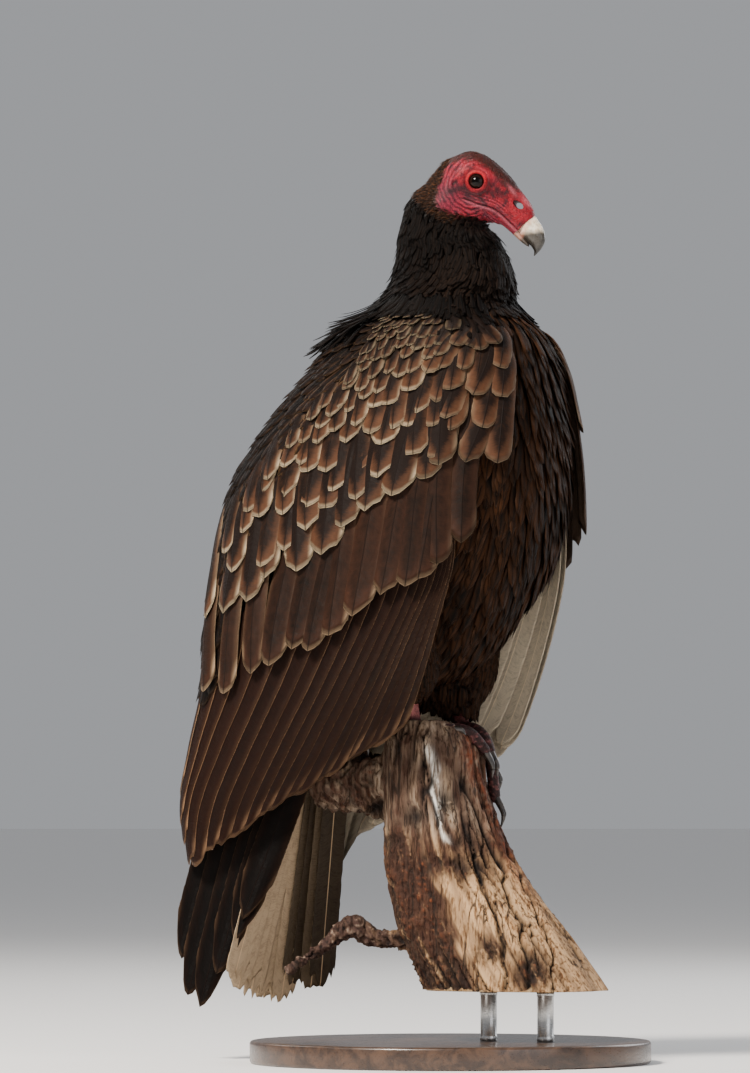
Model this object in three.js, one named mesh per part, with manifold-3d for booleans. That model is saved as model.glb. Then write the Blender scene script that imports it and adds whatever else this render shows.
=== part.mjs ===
// Turkey vulture, perched upright on a cut length of dead limb that stands on a plain display stand.
// Millimetres, +Z up. The bird faces -Y and its left side is +X. The origin is on the floor,
// under the middle of the stand's base.
import * as THREE from 'three';
import { mergeVertices } from 'three/addons/utils/BufferGeometryUtils.js';
import Module from 'manifold-3d';

const wasm = await Module();
wasm.setup();

// Driving dimensions
const GAP = 0.3; // clearance between neighbouring solids
const BASE_RADIUS = 160;
const BASE_HEIGHT = 18;
const ROD_RADIUS = 7;
const ROD_PLACES = { front: -84, rear: -34 };
const LIMB_CUT_HEIGHT = 58;
const LIMB_TOP_HEIGHT = 273; // top of the ridge beside the feet
const PERCH_HEIGHT = 260; // level wood under the feet
const HEAD_YAW = 18; // degrees to the bird's left
const HEAD_PITCH = 33; // degrees below level
const EYE_AXIS = new THREE.Vector3(7, -23, 703); // middle of the line through both eyes
const EYE_RADIUS = 7.6;
const EYE_SPREAD = 12.9; // eye centre from the head's middle plane
const SHOULDER_HEIGHT = 600; // neck meets trunk
const FACE_SLOPE = 0.75; // rise of the bare skin's lower edge towards the nape
const FACE_LEVEL = 682; // its height over the origin
const THROAT = { depth: -12, slope: 0.17 }; // in front of that depth the edge rises less
const PRIMARY = { width: 30, thickness: 3.4, count: 5 };
const TAIL = { feathers: 9, length: 274, width: 27, thickness: 2.6, fan: 13, twist: 24 };
const TAIL_ROOT = new THREE.Vector3(0, 112, 318);
const TAIL_TIP = new THREE.Vector3(0, 164, 50);

// Sections by height: [height, half width, front, back, squareness]
const TRUNK = [
  [298, 22, 22, 150, 2.2],
  [318, 46, -20, 170, 2.3],
  [350, 74, -50, 178, 2.5],
  [390, 87, -73, 176, 2.8],
  [440, 92, -89, 166, 2.9],
  [490, 90, -94, 150, 2.8],
  [540, 81, -91, 120, 2.6],
  [575, 68, -80, 94, 2.3],
  [588, 61, -67, 82, 2.2],
  [SHOULDER_HEIGHT, 55, -58.5, 70, 2.1],
];
const WINGS = [
  [128, 62, 0, 214, 5],
  [200, 78, -30, 220, 5],
  [250, 88, -50, 211, 4.5],
  [300, 97, -66, 199, 4],
  [350, 103, -82, 197, 3.5],
  [395, 106, -94, 193, 3],
  [450, 106, -99, 183, 2.75],
  [490, 103, -99, 163, 2.6],
  [530, 96, -95, 133, 2.5],
  [555, 89, -91, 112, 2.4],
  [580, 76, -81, 93, 2.3],
  [592, 62, -67, 78, 2.2],
  [604, 53, -57, 60, 2.2],
];
const UNDER_WINGS = [
  [118, 51, -80, 205, 5],
  [200, 68, -90, 211, 5],
  [250, 78, -100, 202, 4.5],
  [300, 86, -100, 190, 4],
  [350, 89, -100, 186, 3.2],
  [392, 78, -80, 166, 2.4],
];
const NECK = [
  [SHOULDER_HEIGHT + GAP, 54.5, -58, 69, 2.1],
  [615, 48.5, -56.5, 55, 2],
  [632, 43, -54.5, 48, 2],
  [650, 38, -49.5, 47, 2],
  [668, 35, -41, 46, 2],
  [685, 32, -25, 44, 2],
  [695, 27, -14, 38, 2],
  [702, 17, -6, 26, 2],
];
const BREAST = [[36, 620], [52, 570], [64, 520], [69, 470], [70, 280]];
const MANTLE = [[46, 620], [47, 570], [38, 500], [16, 430], [4, 395], [26, 330], [46, 250], [50, 110]];

// Head profile along the bill's direction: [top s, top h, bottom s, bottom h, half width], from the eyes
const SKULL = [
  [-34.5, -9, -33.5, -18, 7],
  [-31.5, 0, -30, -24, 14],
  [-26.5, 9.8, -26, -30, 18.2],
  [-19, 17.8, -18, -33, 20.4],
  [-10, 21, -9, -32, 20.2],
  [0, 21.2, 2, -29.5, 17.9],
  [8, 20.3, 10, -27, 16.4],
  [16, 18.4, 18, -23.5, 15],
  [23, 16.4, 25, -21, 12.6],
  [30, 13.7, 31, -19.4, 10.8],
  [37, 11, 37, -18.9, 9.6],
  [43.6, 8.4, 42, -19.6, 8.8],
  [48.6, 5.3, 44.5, -20.2, 8.1],
  [52.3, 1.6, 46, -20.3, 7.3],
];
const BILL_UPPER = [
  [52.8, 1.6, 49.3, -12.2, 7.2],
  [57.6, -0.2, 53.2, -15, 7],
  [63, -2.9, 57.2, -16.8, 6.5],
  [67.8, -7.1, 61.2, -18.1, 5.6],
  [70.3, -11.7, 64.6, -19.4, 4.3],
  [71, -17.4, 66.8, -21.2, 2.9],
  [70.2, -22.2, 68.1, -23.3, 1.4],
  [69.4, -24.8, 68.9, -24.9, 0.5],
];
const BILL_LOWER = [
  [48.9, -13.6, 46.9, -20.3, 6.2],
  [53.4, -16.1, 52.4, -21, 5.6],
  [57.6, -17.7, 57.2, -21.9, 4.6],
  [61, -19.2, 61, -21.9, 2.6],
  [62.4, -20.3, 62.4, -21.4, 0.7],
];

// The perch by height: [height, middle y, half width, half depth]
const LIMB = [
  [LIMB_CUT_HEIGHT, -56, 58, 74],
  [100, -30, 56, 69],
  [126, -16, 54, 62],
  [155, -3, 52, 54],
  [189, 6, 50, 45],
  [226, 12, 48, 39],
  [249, 13, 46, 37],
  [PERCH_HEIGHT, 14, 43.5, 33.5],
  [LIMB_TOP_HEIGHT, 15, 38, 28],
];

const SKIN = { color: 0xa82c3c, roughness: 0.55, metalness: 0 };
const FEATHER = { color: 0x4a3426, roughness: 0.8, metalness: 0 };
const QUILL = { color: 0x2c2221, roughness: 0.6, metalness: 0 };
const RUFF = { color: 0x1f1c1a, roughness: 0.85, metalness: 0 };
const HORN = { color: 0xe6dccb, roughness: 0.35, metalness: 0 };
const CLAW = { color: 0x2e2823, roughness: 0.4, metalness: 0 };
const EYE = { color: 0x140c0a, roughness: 0.08, metalness: 0 };
const LEG = { color: 0xb06a6a, roughness: 0.7, metalness: 0 };
const WOOD = { color: 0xb59a80, roughness: 0.9, metalness: 0 };
const STAND = { color: 0x3a2c22, roughness: 0.4, metalness: 0 };
const STEEL = { color: 0xb8b8b6, roughness: 0.3, metalness: 1 };

// General shapes

// Values of a table at a key between its rows, smooth through every row
function smooth(rows, key) {
  let i = 0;
  while (i < rows.length - 2 && key > rows[i + 1][0]) i += 1;
  const before = rows[Math.max(i - 1, 0)];
  const [a, b] = [rows[i], rows[i + 1]];
  const after = rows[Math.min(i + 2, rows.length - 1)];
  const t = THREE.MathUtils.clamp((key - a[0]) / (b[0] - a[0]), 0, 1);
  const span = b[0] - a[0];
  return a.slice(1).map((_, k) => {
    const c = k + 1;
    const into = ((b[c] - before[c]) / (b[0] - before[0])) * span;
    const out = ((after[c] - a[c]) / (after[0] - a[0])) * span;
    const curve = 2 * t ** 3 - 3 * t ** 2;
    return a[c] * (curve + 1) + b[c] * -curve + into * (t ** 3 - 2 * t ** 2 + t) + out * (t ** 3 - t ** 2);
  });
}

// Closed body through rings of equally many points, each end closed by a fan to the ring's middle
function loft(rings) {
  const sides = rings[0].length;
  const points = rings.flat();
  const faces = [];
  for (let r = 0; r < rings.length - 1; r += 1) {
    for (let i = 0; i < sides; i += 1) {
      const j = (i + 1) % sides;
      const [a, b] = [r * sides + i, r * sides + j];
      faces.push(a, b, b + sides, a, b + sides, a + sides);
    }
  }
  [rings[0], rings[rings.length - 1]].forEach((ring, end) => {
    const middle = ring.reduce((sum, p) => sum.add(p), new THREE.Vector3()).divideScalar(sides);
    const first = end ? (rings.length - 1) * sides : 0;
    points.push(middle);
    for (let i = 0; i < sides; i += 1) {
      const j = (i + 1) % sides;
      if (end) faces.push(points.length - 1, first + i, first + j);
      else faces.push(points.length - 1, first + j, first + i);
    }
  });
  const geometry = new THREE.BufferGeometry().setFromPoints(points);
  geometry.setIndex(faces);
  return outward(geometry);
}

// Turns the faces round where they point inward
function outward(geometry) {
  const position = geometry.getAttribute('position');
  const index = Array.from(geometry.index.array);
  const corner = (i) => new THREE.Vector3().fromBufferAttribute(position, index[i]);
  let volume = 0;
  for (let i = 0; i < index.length; i += 3) {
    volume += corner(i).dot(corner(i + 1).cross(corner(i + 2)));
  }
  if (volume < 0) {
    for (let i = 0; i < index.length; i += 3) {
      [index[i + 1], index[i + 2]] = [index[i + 2], index[i + 1]];
    }
    geometry.setIndex(index);
  }
  return geometry;
}

// Point of a rounded square curve of the given half sizes
function around(angle, halfWidth, halfDepth, squareness) {
  const bend = (value) => Math.sign(value) * Math.abs(value) ** (2 / squareness);
  return [halfWidth * bend(Math.cos(angle)), halfDepth * bend(Math.sin(angle))];
}

// Upright body with level sections, from a table by height
function upright(rows, levels, sides, grow = 0) {
  const low = rows[0][0];
  const high = rows[rows.length - 1][0];
  const rings = Array.from({ length: levels }, (_, k) => {
    const z = low + ((high - low) * k) / (levels - 1);
    const [halfWidth, front, back, squareness] = smooth(rows, z);
    return Array.from({ length: sides }, (__, i) => {
      const angle = ((i + 0.5) / sides) * 2 * Math.PI;
      const [x, y] = around(angle, halfWidth + grow, (back - front) / 2 + grow, squareness);
      return new THREE.Vector3(x, (front + back) / 2 + y, z);
    });
  });
  return loft(rings);
}

// Body between a top and a bottom line in the head's middle plane
function profile(rows, sides, grow = 0) {
  return loft(rows.map(([topS, topH, lowS, lowH, halfWidth]) => {
    const middle = new THREE.Vector3(0, (topS + lowS) / 2, (topH + lowH) / 2);
    const up = new THREE.Vector3(0, topS - lowS, topH - lowH).multiplyScalar(0.5);
    up.setLength(up.length() + grow);
    return Array.from({ length: sides }, (_, i) => {
      const [across, rise] = around((i / sides) * 2 * Math.PI, halfWidth + grow, 1, 2.2);
      return middle.clone().addScaledVector(up, rise).add(new THREE.Vector3(across, 0, 0));
    });
  }));
}

// Round body along a smooth curve, with a radius for each of its points
function tube(points, radii, sides, steps, grow = 0) {
  const curve = new THREE.CatmullRomCurve3(points.map((p) => new THREE.Vector3(...p)));
  const frames = curve.computeFrenetFrames(steps, false);
  const widths = radii.map((radius, i) => [i, radius]);
  const rings = Array.from({ length: steps + 1 }, (_, k) => {
    const along = k / steps;
    const [radius] = smooth(widths, curve.getUtoTmapping(along) * (radii.length - 1));
    const centre = curve.getPointAt(along);
    if (k === 0) centre.addScaledVector(frames.tangents[k], -grow);
    if (k === steps) centre.addScaledVector(frames.tangents[k], grow);
    return Array.from({ length: sides }, (__, i) => {
      const angle = (i / sides) * 2 * Math.PI;
      return centre.clone()
        .addScaledVector(frames.normals[k], Math.cos(angle) * (radius + grow))
        .addScaledVector(frames.binormals[k], Math.sin(angle) * (radius + grow));
    });
  });
  return loft(rings);
}

// Straight-sided body of an outline in the plane of two axes, between two places on the third
function prism(outline, low, high, place) {
  const shape = new THREE.Shape(outline.map(([a, b]) => new THREE.Vector2(a, b)));
  const geometry = new THREE.ExtrudeGeometry(shape, { depth: high - low, bevelEnabled: false });
  const position = geometry.getAttribute('position');
  for (let i = 0; i < position.count; i += 1) {
    position.setXYZ(i, ...place(position.getX(i), position.getY(i), low + position.getZ(i)));
  }
  return merged(geometry);
}

function merged(geometry) {
  geometry.deleteAttribute('normal');
  geometry.deleteAttribute('uv');
  return outward(mergeVertices(geometry, 1e-4));
}

function solid(geometry) {
  return new wasm.Manifold(new wasm.Mesh({
    numProp: 3,
    vertProperties: new Float32Array(geometry.getAttribute('position').array),
    triVerts: new Uint32Array(geometry.index.array),
  }));
}

function surface(body) {
  const mesh = body.getMesh();
  const geometry = new THREE.BufferGeometry();
  geometry.setAttribute('position', new THREE.BufferAttribute(mesh.vertProperties, 3));
  geometry.setIndex(new THREE.BufferAttribute(mesh.triVerts, 1));
  return geometry;
}

// Keeps the largest piece of a body, without the crumbs that a cut may leave
function largest(body) {
  return body.decompose().sort((a, b) => b.volume() - a.volume())[0];
}

const group = new THREE.Group();

function add(name, geometry, finish) {
  const mesh = new THREE.Mesh(geometry, new THREE.MeshStandardMaterial(finish));
  mesh.name = name;
  group.add(mesh);
}

// Head, bill, eyes and neck

const headTurn = new THREE.Matrix4()
  .makeTranslation(EYE_AXIS)
  .multiply(new THREE.Matrix4().makeRotationZ(THREE.MathUtils.degToRad(HEAD_YAW)))
  .multiply(new THREE.Matrix4().makeRotationX(THREE.MathUtils.degToRad(HEAD_PITCH)))
  .multiply(new THREE.Matrix4().makeScale(1, -1, 1)); // distances along the bill run towards -Y

function inHead(geometry) {
  return outward(geometry.applyMatrix4(headTurn));
}

function eyeball(side, grow = 0) {
  const ball = merged(new THREE.SphereGeometry(EYE_RADIUS + grow, 12, 7));
  return inHead(ball.translate(side * EYE_SPREAD, 0, 0));
}

function nostril() {
  const hole = merged(new THREE.CylinderGeometry(1, 1, 60, 10));
  hole.rotateZ(Math.PI / 2);
  hole.scale(1, 4.2, 2.3);
  return inHead(hole.translate(0, 38.6, 2.6));
}

// Everything above the slanting lower edge of the bare skin
function aboveFaceEdge(shift) {
  const reach = 120;
  const level = (y) => FACE_LEVEL + FACE_SLOPE * y + shift;
  const front = level(THROAT.depth) - THROAT.slope * (reach + THROAT.depth);
  const edge = [[-reach, front], [THROAT.depth, level(THROAT.depth)], [reach, level(reach)]];
  const outline = [...edge, [reach, 900], [-reach, 900]];
  return solid(prism(outline, -reach, reach, (y, z, x) => [x, y, z]));
}

const skull = solid(inHead(profile(SKULL, 16)));
const skullRoom = solid(inHead(profile(SKULL, 16, GAP)));
const column = solid(upright(NECK, 8, 18));
const face = skull.add(column.intersect(aboveFaceEdge(0)))
  .subtract(solid(eyeball(1, GAP)))
  .subtract(solid(eyeball(-1, GAP)))
  .subtract(solid(nostril()));
add('head', surface(largest(face)), SKIN);
add('neck', surface(largest(column.subtract(aboveFaceEdge(-GAP)).subtract(skullRoom))), RUFF);
add('bill_upper', inHead(profile(BILL_UPPER, 14)), HORN);
add('bill_lower', inHead(profile(BILL_LOWER, 12)), HORN);
add('eye_left', eyeball(1), EYE);
add('eye_right', eyeball(-1), EYE);

// Trunk, with the mantle between the wings

// Half-width outline about the middle plane, from [half width, height] rows
function mirrored(rows, grow) {
  const right = rows.map(([x, z]) => [x + grow, z]);
  const left = rows.map(([x, z]) => [-x - grow, z]).reverse();
  return [...right, ...left];
}

const onBack = (x, z, y) => [x, y, z];
const wingShape = solid(upright(WINGS, 12, 26));
const mantle = wingShape.intersect(solid(prism(mirrored(MANTLE.slice(0, 5), -GAP), 40, 300, onBack)));
const trunk = solid(upright(TRUNK, 10, 20));
const belowNeck = aboveShoulders(0);

function aboveShoulders(shift) {
  const low = SHOULDER_HEIGHT + shift;
  const outline = [[-200, low], [200, low], [200, 800], [-200, 800]];
  return solid(prism(outline, -300, 300, (x, z, y) => [x, y, z]));
}

// Wings: coverts over secondaries, both bent round the trunk

// Rounded tips in a row between two points of an outline, [y, z] each
function tips(from, to, count, depth) {
  const [dy, dz] = [(to[0] - from[0]) / count, (to[1] - from[1]) / count];
  const long = Math.hypot(dy, dz);
  const [downY, downZ] = [(dz / long) * depth, (-dy / long) * depth];
  return Array.from({ length: count }, (_, k) => {
    const at = (part, fall) => [
      from[0] + dy * (k + part) + downY * fall,
      from[1] + dz * (k + part) + downZ * fall,
    ];
    return [at(0, 0), at(0.25, 0.75), at(0.55, 1), at(0.85, 0.6)];
  }).flat();
}

const SIDES = {
  right: {
    sign: -1,
    coverts: [
      [30, 612], [-34, 606], [-74, 570], [-90, 530], [-96, 480], [-96, 440],
      ...tips([-92, 424], [-38, 399], 2, 9),
      ...tips([-38, 399], [66, 338], 4, 9),
      ...tips([66, 338], [150, 300], 4, 9),
      [198, 296], [215, 360], [215, 612],
    ],
    secondaries: [
      [-60, 440], [-32, 395], [-20, 343], [-3, 296],
      ...tips([14, 262], [79, 232], 3, 12),
      ...tips([79, 232], [147, 194], 4, 12),
      ...tips([147, 194], [212, 158], 3, 14),
      [232, 190], [215, 300], [212, 440],
    ],
    primaryTips: [[166, 98], [184, 70], [201, 43], [213, 52], [219, 82]],
  },
  left: {
    sign: 1,
    coverts: [
      [30, 612], [-34, 606], [-70, 570], [-88, 530], [-92, 480], [-90, 440],
      ...tips([-82, 420], [-30, 392], 2, 9),
      ...tips([-30, 392], [66, 338], 4, 9),
      ...tips([66, 338], [150, 300], 4, 9),
      [198, 296], [215, 360], [215, 612],
    ],
    secondaries: [
      [-76, 440], [-56, 388], [-40, 320], [-22, 276],
      ...tips([-10, 252], [72, 214], 4, 12),
      ...tips([72, 214], [140, 176], 4, 12),
      ...tips([140, 176], [205, 152], 3, 14),
      [225, 190], [215, 300], [212, 440],
    ],
    primaryTips: [[146, 128], [160, 98], [178, 62], [192, 68], [201, 92]],
  },
};

const trunkRoom = solid(upright(TRUNK, 10, 20, GAP));
const underWings = solid(upright(UNDER_WINGS, 7, 20)).add(trunkRoom);
const insetWings = WINGS.map(([z, w, front, back, n]) => [z, w - 4, front, back - 4, n]);
const flightShape = solid(upright(insetWings, 12, 26));
const mantleRoom = solid(prism(mirrored(MANTLE, 0), 20, 300, onBack));
const breastRoom = solid(prism(mirrored(BREAST, 0), -200, -20, onBack));

function wingPrism(outline, sign, shift = 0) {
  const lowered = outline.map(([y, z]) => [y, z - shift]);
  return solid(prism(lowered, 0.5, 200, (y, z, x) => [sign * x, y, z]));
}

// One long flight feather as a thin flat blade from its root, in the plane of the wing
function blade(root, tip, width, thickness, lean) {
  const along = new THREE.Vector2(tip[0] - root[0], tip[1] - root[1]);
  const long = along.length();
  const turn = Math.atan2(along.y, along.x);
  const half = width / 2;
  const edge = [[0, 0.35], [0.3, 0.9], [0.7, 1], [0.88, 0.8], [0.97, 0.4]];
  const outline = [
    ...edge.map(([s, w]) => [s * long, -w * half]),
    [long, 0],
    ...edge.map(([s, w]) => [s * long, w * half]).reverse(),
  ];
  return prism(outline, 0, thickness, (s, w, depth) => {
    const y = root[0] + s * Math.cos(turn) - w * Math.sin(turn);
    const z = root[1] + s * Math.sin(turn) + w * Math.cos(turn);
    return [lean(z) + depth, y, z];
  });
}

// Space that the secondaries take, with a gap all round
function secondariesRoom(wing) {
  const band = wingPrism(wing.secondaries, 1).add(wingPrism(wing.secondaries, 1, 2 * GAP));
  return solid(upright(insetWings, 12, 26, 2 * GAP))
    .intersect(band)
    .subtract(solid(upright(UNDER_WINGS, 7, 20, -GAP)));
}

function primaries(wing) {
  const { sign, primaryTips } = wing;
  const blades = primaryTips.map((tip, k) => {
    const root = [104 + 14 * k, 268];
    const lean = (z) => 53 + 1.4 * (k % 2) + 0.03 * (z - 130);
    return solid(blade(root, tip, PRIMARY.width, PRIMARY.thickness, lean));
  });
  const fan = blades.reduce((sum, one) => sum.add(one));
  const geometry = surface(largest(fan.subtract(secondariesRoom(wing))));
  return outward(geometry.scale(sign, 1, 1));
}

let wingCoverts = null;
Object.entries(SIDES).forEach(([side, wing]) => {
  const { sign } = wing;
  const coverts = wingShape.intersect(wingPrism(wing.coverts, sign))
    .subtract(underWings)
    .subtract(mantleRoom)
    .subtract(breastRoom)
    .subtract(belowNeck);
  const secondaries = flightShape.intersect(wingPrism(wing.secondaries, sign))
    .subtract(underWings)
    .subtract(mantleRoom)
    .subtract(wingPrism(wing.coverts, sign, GAP));
  add(`wing_${side}_coverts`, surface(largest(coverts)), FEATHER);
  add(`wing_${side}_secondaries`, surface(largest(secondaries)), QUILL);
  add(`wing_${side}_primaries`, primaries(wing), QUILL);
  wingCoverts = wingCoverts ? wingCoverts.add(coverts) : coverts;
});

// Legs and feet

// Thigh in loose feathers, bare shank below it, for each side: x, then y and z down the leg
const LEGS = {
  right: { sign: -1, hip: [-48, 22, 354], knee: [-41, 17, 314], ankle: [-29, 21, 288], foot: [-25, 21, 268] },
  left: { sign: 1, hip: [48, 16, 354], knee: [42, 8, 314], ankle: [32, 7, 288], foot: [29, 5, 267] },
};
const SHANK_RADIUS = 6.5;

// Toes from the foot's middle: the curve of each toe, then the curve of its claw
const TOES = {
  right: {
    inner: { toe: [[-20, 17, 265], [-9, 9, 265.5], [2, 0, 265.5]],
      claw: [[4.5, -2, 264.5], [9, -6, 265], [12.5, -9, 261]] },
    middle: { toe: [[-23, 15, 265], [-13, -3, 265.5], [-2, -17, 263], [6, -27, 250]],
      claw: [[7, -29, 246], [9, -33, 237], [9, -33, 227]] },
    outer: { toe: [[-28, 14, 265], [-24.5, 1, 266], [-19, -9, 266.5]],
      claw: [[-17.8, -11.8, 265.5], [-15, -17, 265], [-13.5, -20.5, 261]] },
    back: { toe: [[-27, 28, 264], [-30, 37, 266], [-33, 45, 263]],
      claw: [[-34, 48.5, 260], [-36, 54, 253], [-36, 55, 245]] },
  },
  left: {
    inner: { toe: [[25, 0, 265], [21, -12, 265], [18.5, -21, 259], [17.5, -26.5, 249]],
      claw: [[17, -29, 245], [16.5, -33.5, 237], [16.5, -33.5, 228]] },
    middle: { toe: [[28, -3, 265], [28, -14, 261], [27, -22, 246], [26, -27, 214]],
      claw: [[26, -29.5, 209], [25.5, -35, 198], [25, -32.5, 186]] },
    outer: { toe: [[35, 1, 264], [42, -6, 258], [46, -11, 247], [47, -14, 238]],
      claw: [[47.5, -16.5, 234], [48, -21, 226], [48, -20, 216]] },
    back: { toe: [[28, 14, 264], [26, 24, 266], [24, 34, 266]],
      claw: [[23.5, 38.5, 265], [22, 46, 261], [21, 50, 254]] },
  },
};
const TOE_RADII = { long: [6, 5.2, 4.6, 3.4], short: [5.4, 4.6, 3.4], claw: [3, 2.2, 0.5] };

const limbCutters = [];

function addLeg(side) {
  const { hip, knee, ankle, foot } = LEGS[side];
  const thigh = (grow) => solid(tube([hip, knee, ankle], [38, 29, 13], 12, 6, grow));
  const shankPath = [knee, ankle, foot];
  const shank = (grow) => solid(tube(shankPath, [SHANK_RADIUS, SHANK_RADIUS, 8], 8, 3, grow));
  const thighRoom = thigh(GAP);
  add(`thigh_${side}`, surface(largest(thigh(0).subtract(trunkRoom))), FEATHER);
  add(`shank_${side}`, surface(largest(shank(0).subtract(thighRoom).subtract(trunkRoom))), LEG);
  limbCutters.push(shank(GAP));
  let taken = shank(GAP);
  Object.entries(TOES[side]).forEach(([name, { toe, claw }]) => {
    const radii = toe.length === 3 ? TOE_RADII.short : TOE_RADII.long;
    const body = (grow) => solid(tube(toe, radii, 6, toe.length + 1, grow));
    const nail = (grow) => solid(tube(claw, TOE_RADII.claw, 5, 4, grow));
    add(`toe_${side}_${name}`, surface(largest(body(0).subtract(taken))), LEG);
    add(`claw_${side}_${name}`, surface(largest(nail(0).subtract(body(GAP)))), CLAW);
    taken = taken.add(body(GAP));
    limbCutters.push(body(GAP), nail(GAP));
  });
}

addLeg('right');
addLeg('left');

// Tail: long feathers fanned and stepped over each other, joined as one body

function tailFeather(k) {
  const middle = (TAIL.feathers - 1) / 2;
  const place = (k - middle) / middle;
  const long = TAIL.length * (1 - 0.07 * place ** 2);
  const half = TAIL.width / 2;
  const edge = [[0, 0.4], [0.25, 0.9], [0.8, 1], [0.93, 0.75], [0.985, 0.35]];
  const outline = [
    ...edge.map(([s, w]) => [-w * half, s * long]),
    [0, long],
    ...edge.map(([s, w]) => [w * half, s * long]).reverse(),
  ];
  const turn = THREE.MathUtils.degToRad((-place * TAIL.fan) / 2);
  const depth = 1.3 * Math.abs(k - middle);
  return prism(outline, 0, TAIL.thickness, (a, s, d) => [
    a * Math.cos(turn) - s * Math.sin(turn) + place * 16,
    a * Math.sin(turn) + s * Math.cos(turn),
    d - depth,
  ]);
}

const tailAlong = TAIL_TIP.clone().sub(TAIL_ROOT).normalize();
const twist = THREE.MathUtils.degToRad(-TAIL.twist);
const tailAcross = new THREE.Vector3(Math.cos(twist), Math.sin(twist), 0);
const tailOut = tailAcross.clone().cross(tailAlong).normalize();
tailAcross.copy(tailAlong.clone().cross(tailOut));
const tailTurn = new THREE.Matrix4().makeBasis(tailAcross, tailAlong, tailOut).setPosition(TAIL_ROOT);
const tailFan = Array.from({ length: TAIL.feathers }, (_, k) => solid(tailFeather(k)))
  .reduce((sum, one) => sum.add(one));
const tailRoot = solid(tube(
  [[0, 108, 340], [0, 116, 300], [0, 130, 236]], [34, 24, 7], 10, 4));
const tail = solid(outward(surface(tailFan).applyMatrix4(tailTurn))).add(tailRoot);
add('tail', surface(largest(tail.subtract(trunkRoom))), QUILL);
add('trunk', surface(largest(trunk.add(mantle).subtract(belowNeck))), FEATHER);

// Perch: a leaning dead limb with a broken knob and a twig, cut level below

function limbRings(grow) {
  const levels = 8;
  const sides = 16;
  return Array.from({ length: levels }, (_, k) => {
    const high = k / (levels - 1);
    const z = LIMB_CUT_HEIGHT + (LIMB_TOP_HEIGHT - LIMB_CUT_HEIGHT) * high;
    const [middle, halfWidth, halfDepth] = smooth(LIMB, z);
    return Array.from({ length: sides }, (__, i) => {
      const angle = (i / sides) * 2 * Math.PI;
      const ridge = 1 + 0.03 * Math.sin(5 * angle + 3 * high) + 0.02 * Math.sin(9 * angle - 4 * high);
      const [x, y] = around(angle, halfWidth * ridge + grow, halfDepth * ridge + grow, 2.2);
      const rough = k === levels - 1 ? 2.5 * Math.sin(3 * angle) + 1.5 * Math.cos(7 * angle) : 0;
      return new THREE.Vector3(x, middle + y, z + rough);
    });
  });
}

// Room over the feet: level wood behind a ridge on the right, which falls away to the front
function footRoom() {
  const turn = Math.atan2(-0.891, 0.454);
  const lay = (along, away) => [
    along * Math.cos(turn) - away * Math.sin(turn),
    along * Math.sin(turn) + away * Math.cos(turn),
  ];
  const bed = [[-23, 300], [-21, 269], [-15, PERCH_HEIGHT], [120, PERCH_HEIGHT], [120, 300]];
  const fall = [[-2, 300], [2, 273], [14, 266], [24, 254], [34, 232], [120, 200], [120, 300]];
  const overBed = prism(bed, -120, 120, (away, z, along) => [...lay(along, away), z]);
  const overFall = prism(fall, -60, 120, (along, z, away) => [...lay(along, away), z]);
  return solid(overBed).add(solid(overFall));
}

const knob = solid(tube([[0, 14, 214], [-8, 52, 222], [-20, 84, 223], [-27, 110, 222]],
  [34, 27, 24, 17], 9, 4));
const limb = solid(loft(limbRings(0))).subtract(footRoom()).add(knob);
const bare = limbCutters.reduce((sum, cutter) => sum.subtract(cutter), limb);
const TWIG = [[-14, 30, 98], [-18, 58, 100], [-24, 76, 108], [-32, 92, 96], [-44, 124, 72]];
add('perch_limb', surface(largest(bare)), WOOD);
const twig = solid(tube(TWIG, [9, 8, 11, 6, 3.5], 7, 8));
const limbRoom = solid(loft(limbRings(GAP)));
add('perch_twig', surface(largest(twig.subtract(limbRoom))), WOOD);

// Display stand

function upCylinder(radius, low, high, sides) {
  const post = merged(new THREE.CylinderGeometry(radius, radius, high - low, sides));
  return post.rotateX(Math.PI / 2).translate(0, 0, (low + high) / 2);
}

add('stand_base', upCylinder(BASE_RADIUS, 0, BASE_HEIGHT, 40), STAND);
Object.entries(ROD_PLACES).forEach(([name, y]) => {
  const rod = upCylinder(ROD_RADIUS, BASE_HEIGHT + GAP, LIMB_CUT_HEIGHT - GAP, 16);
  add(`stand_rod_${name}`, rod.translate(0, y, 0), STEEL);
});

export default group;
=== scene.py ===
"""Life-size turkey vulture on a cut dead limb, laid out as an add-on.

Each operator makes one piece or group of pieces, and one makes the stage. Lengths in the tables are
millimetres; meshes are written in metres. The bird faces -Y, its left is +X and Z is up.
"""

import math

import bpy
import numpy as np
from bpy.props import FloatProperty, FloatVectorProperty, IntProperty, PointerProperty
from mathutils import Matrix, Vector


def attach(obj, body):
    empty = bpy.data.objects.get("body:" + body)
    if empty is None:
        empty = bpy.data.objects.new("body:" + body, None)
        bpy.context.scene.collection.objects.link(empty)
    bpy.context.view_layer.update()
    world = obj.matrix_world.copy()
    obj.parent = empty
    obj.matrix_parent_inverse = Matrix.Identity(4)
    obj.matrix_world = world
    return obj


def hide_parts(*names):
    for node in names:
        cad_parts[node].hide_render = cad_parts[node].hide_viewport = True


bl_info = {
    "name": "Perched Turkey Vulture",
    "version": (1, 0, 0),
    "blender": (4, 5, 0),
    "location": "View3D > Sidebar > Vulture",
    "description": "Builds a perched turkey vulture, its limb and its display stand over a packed frame",
    "category": "Object",
}

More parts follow.
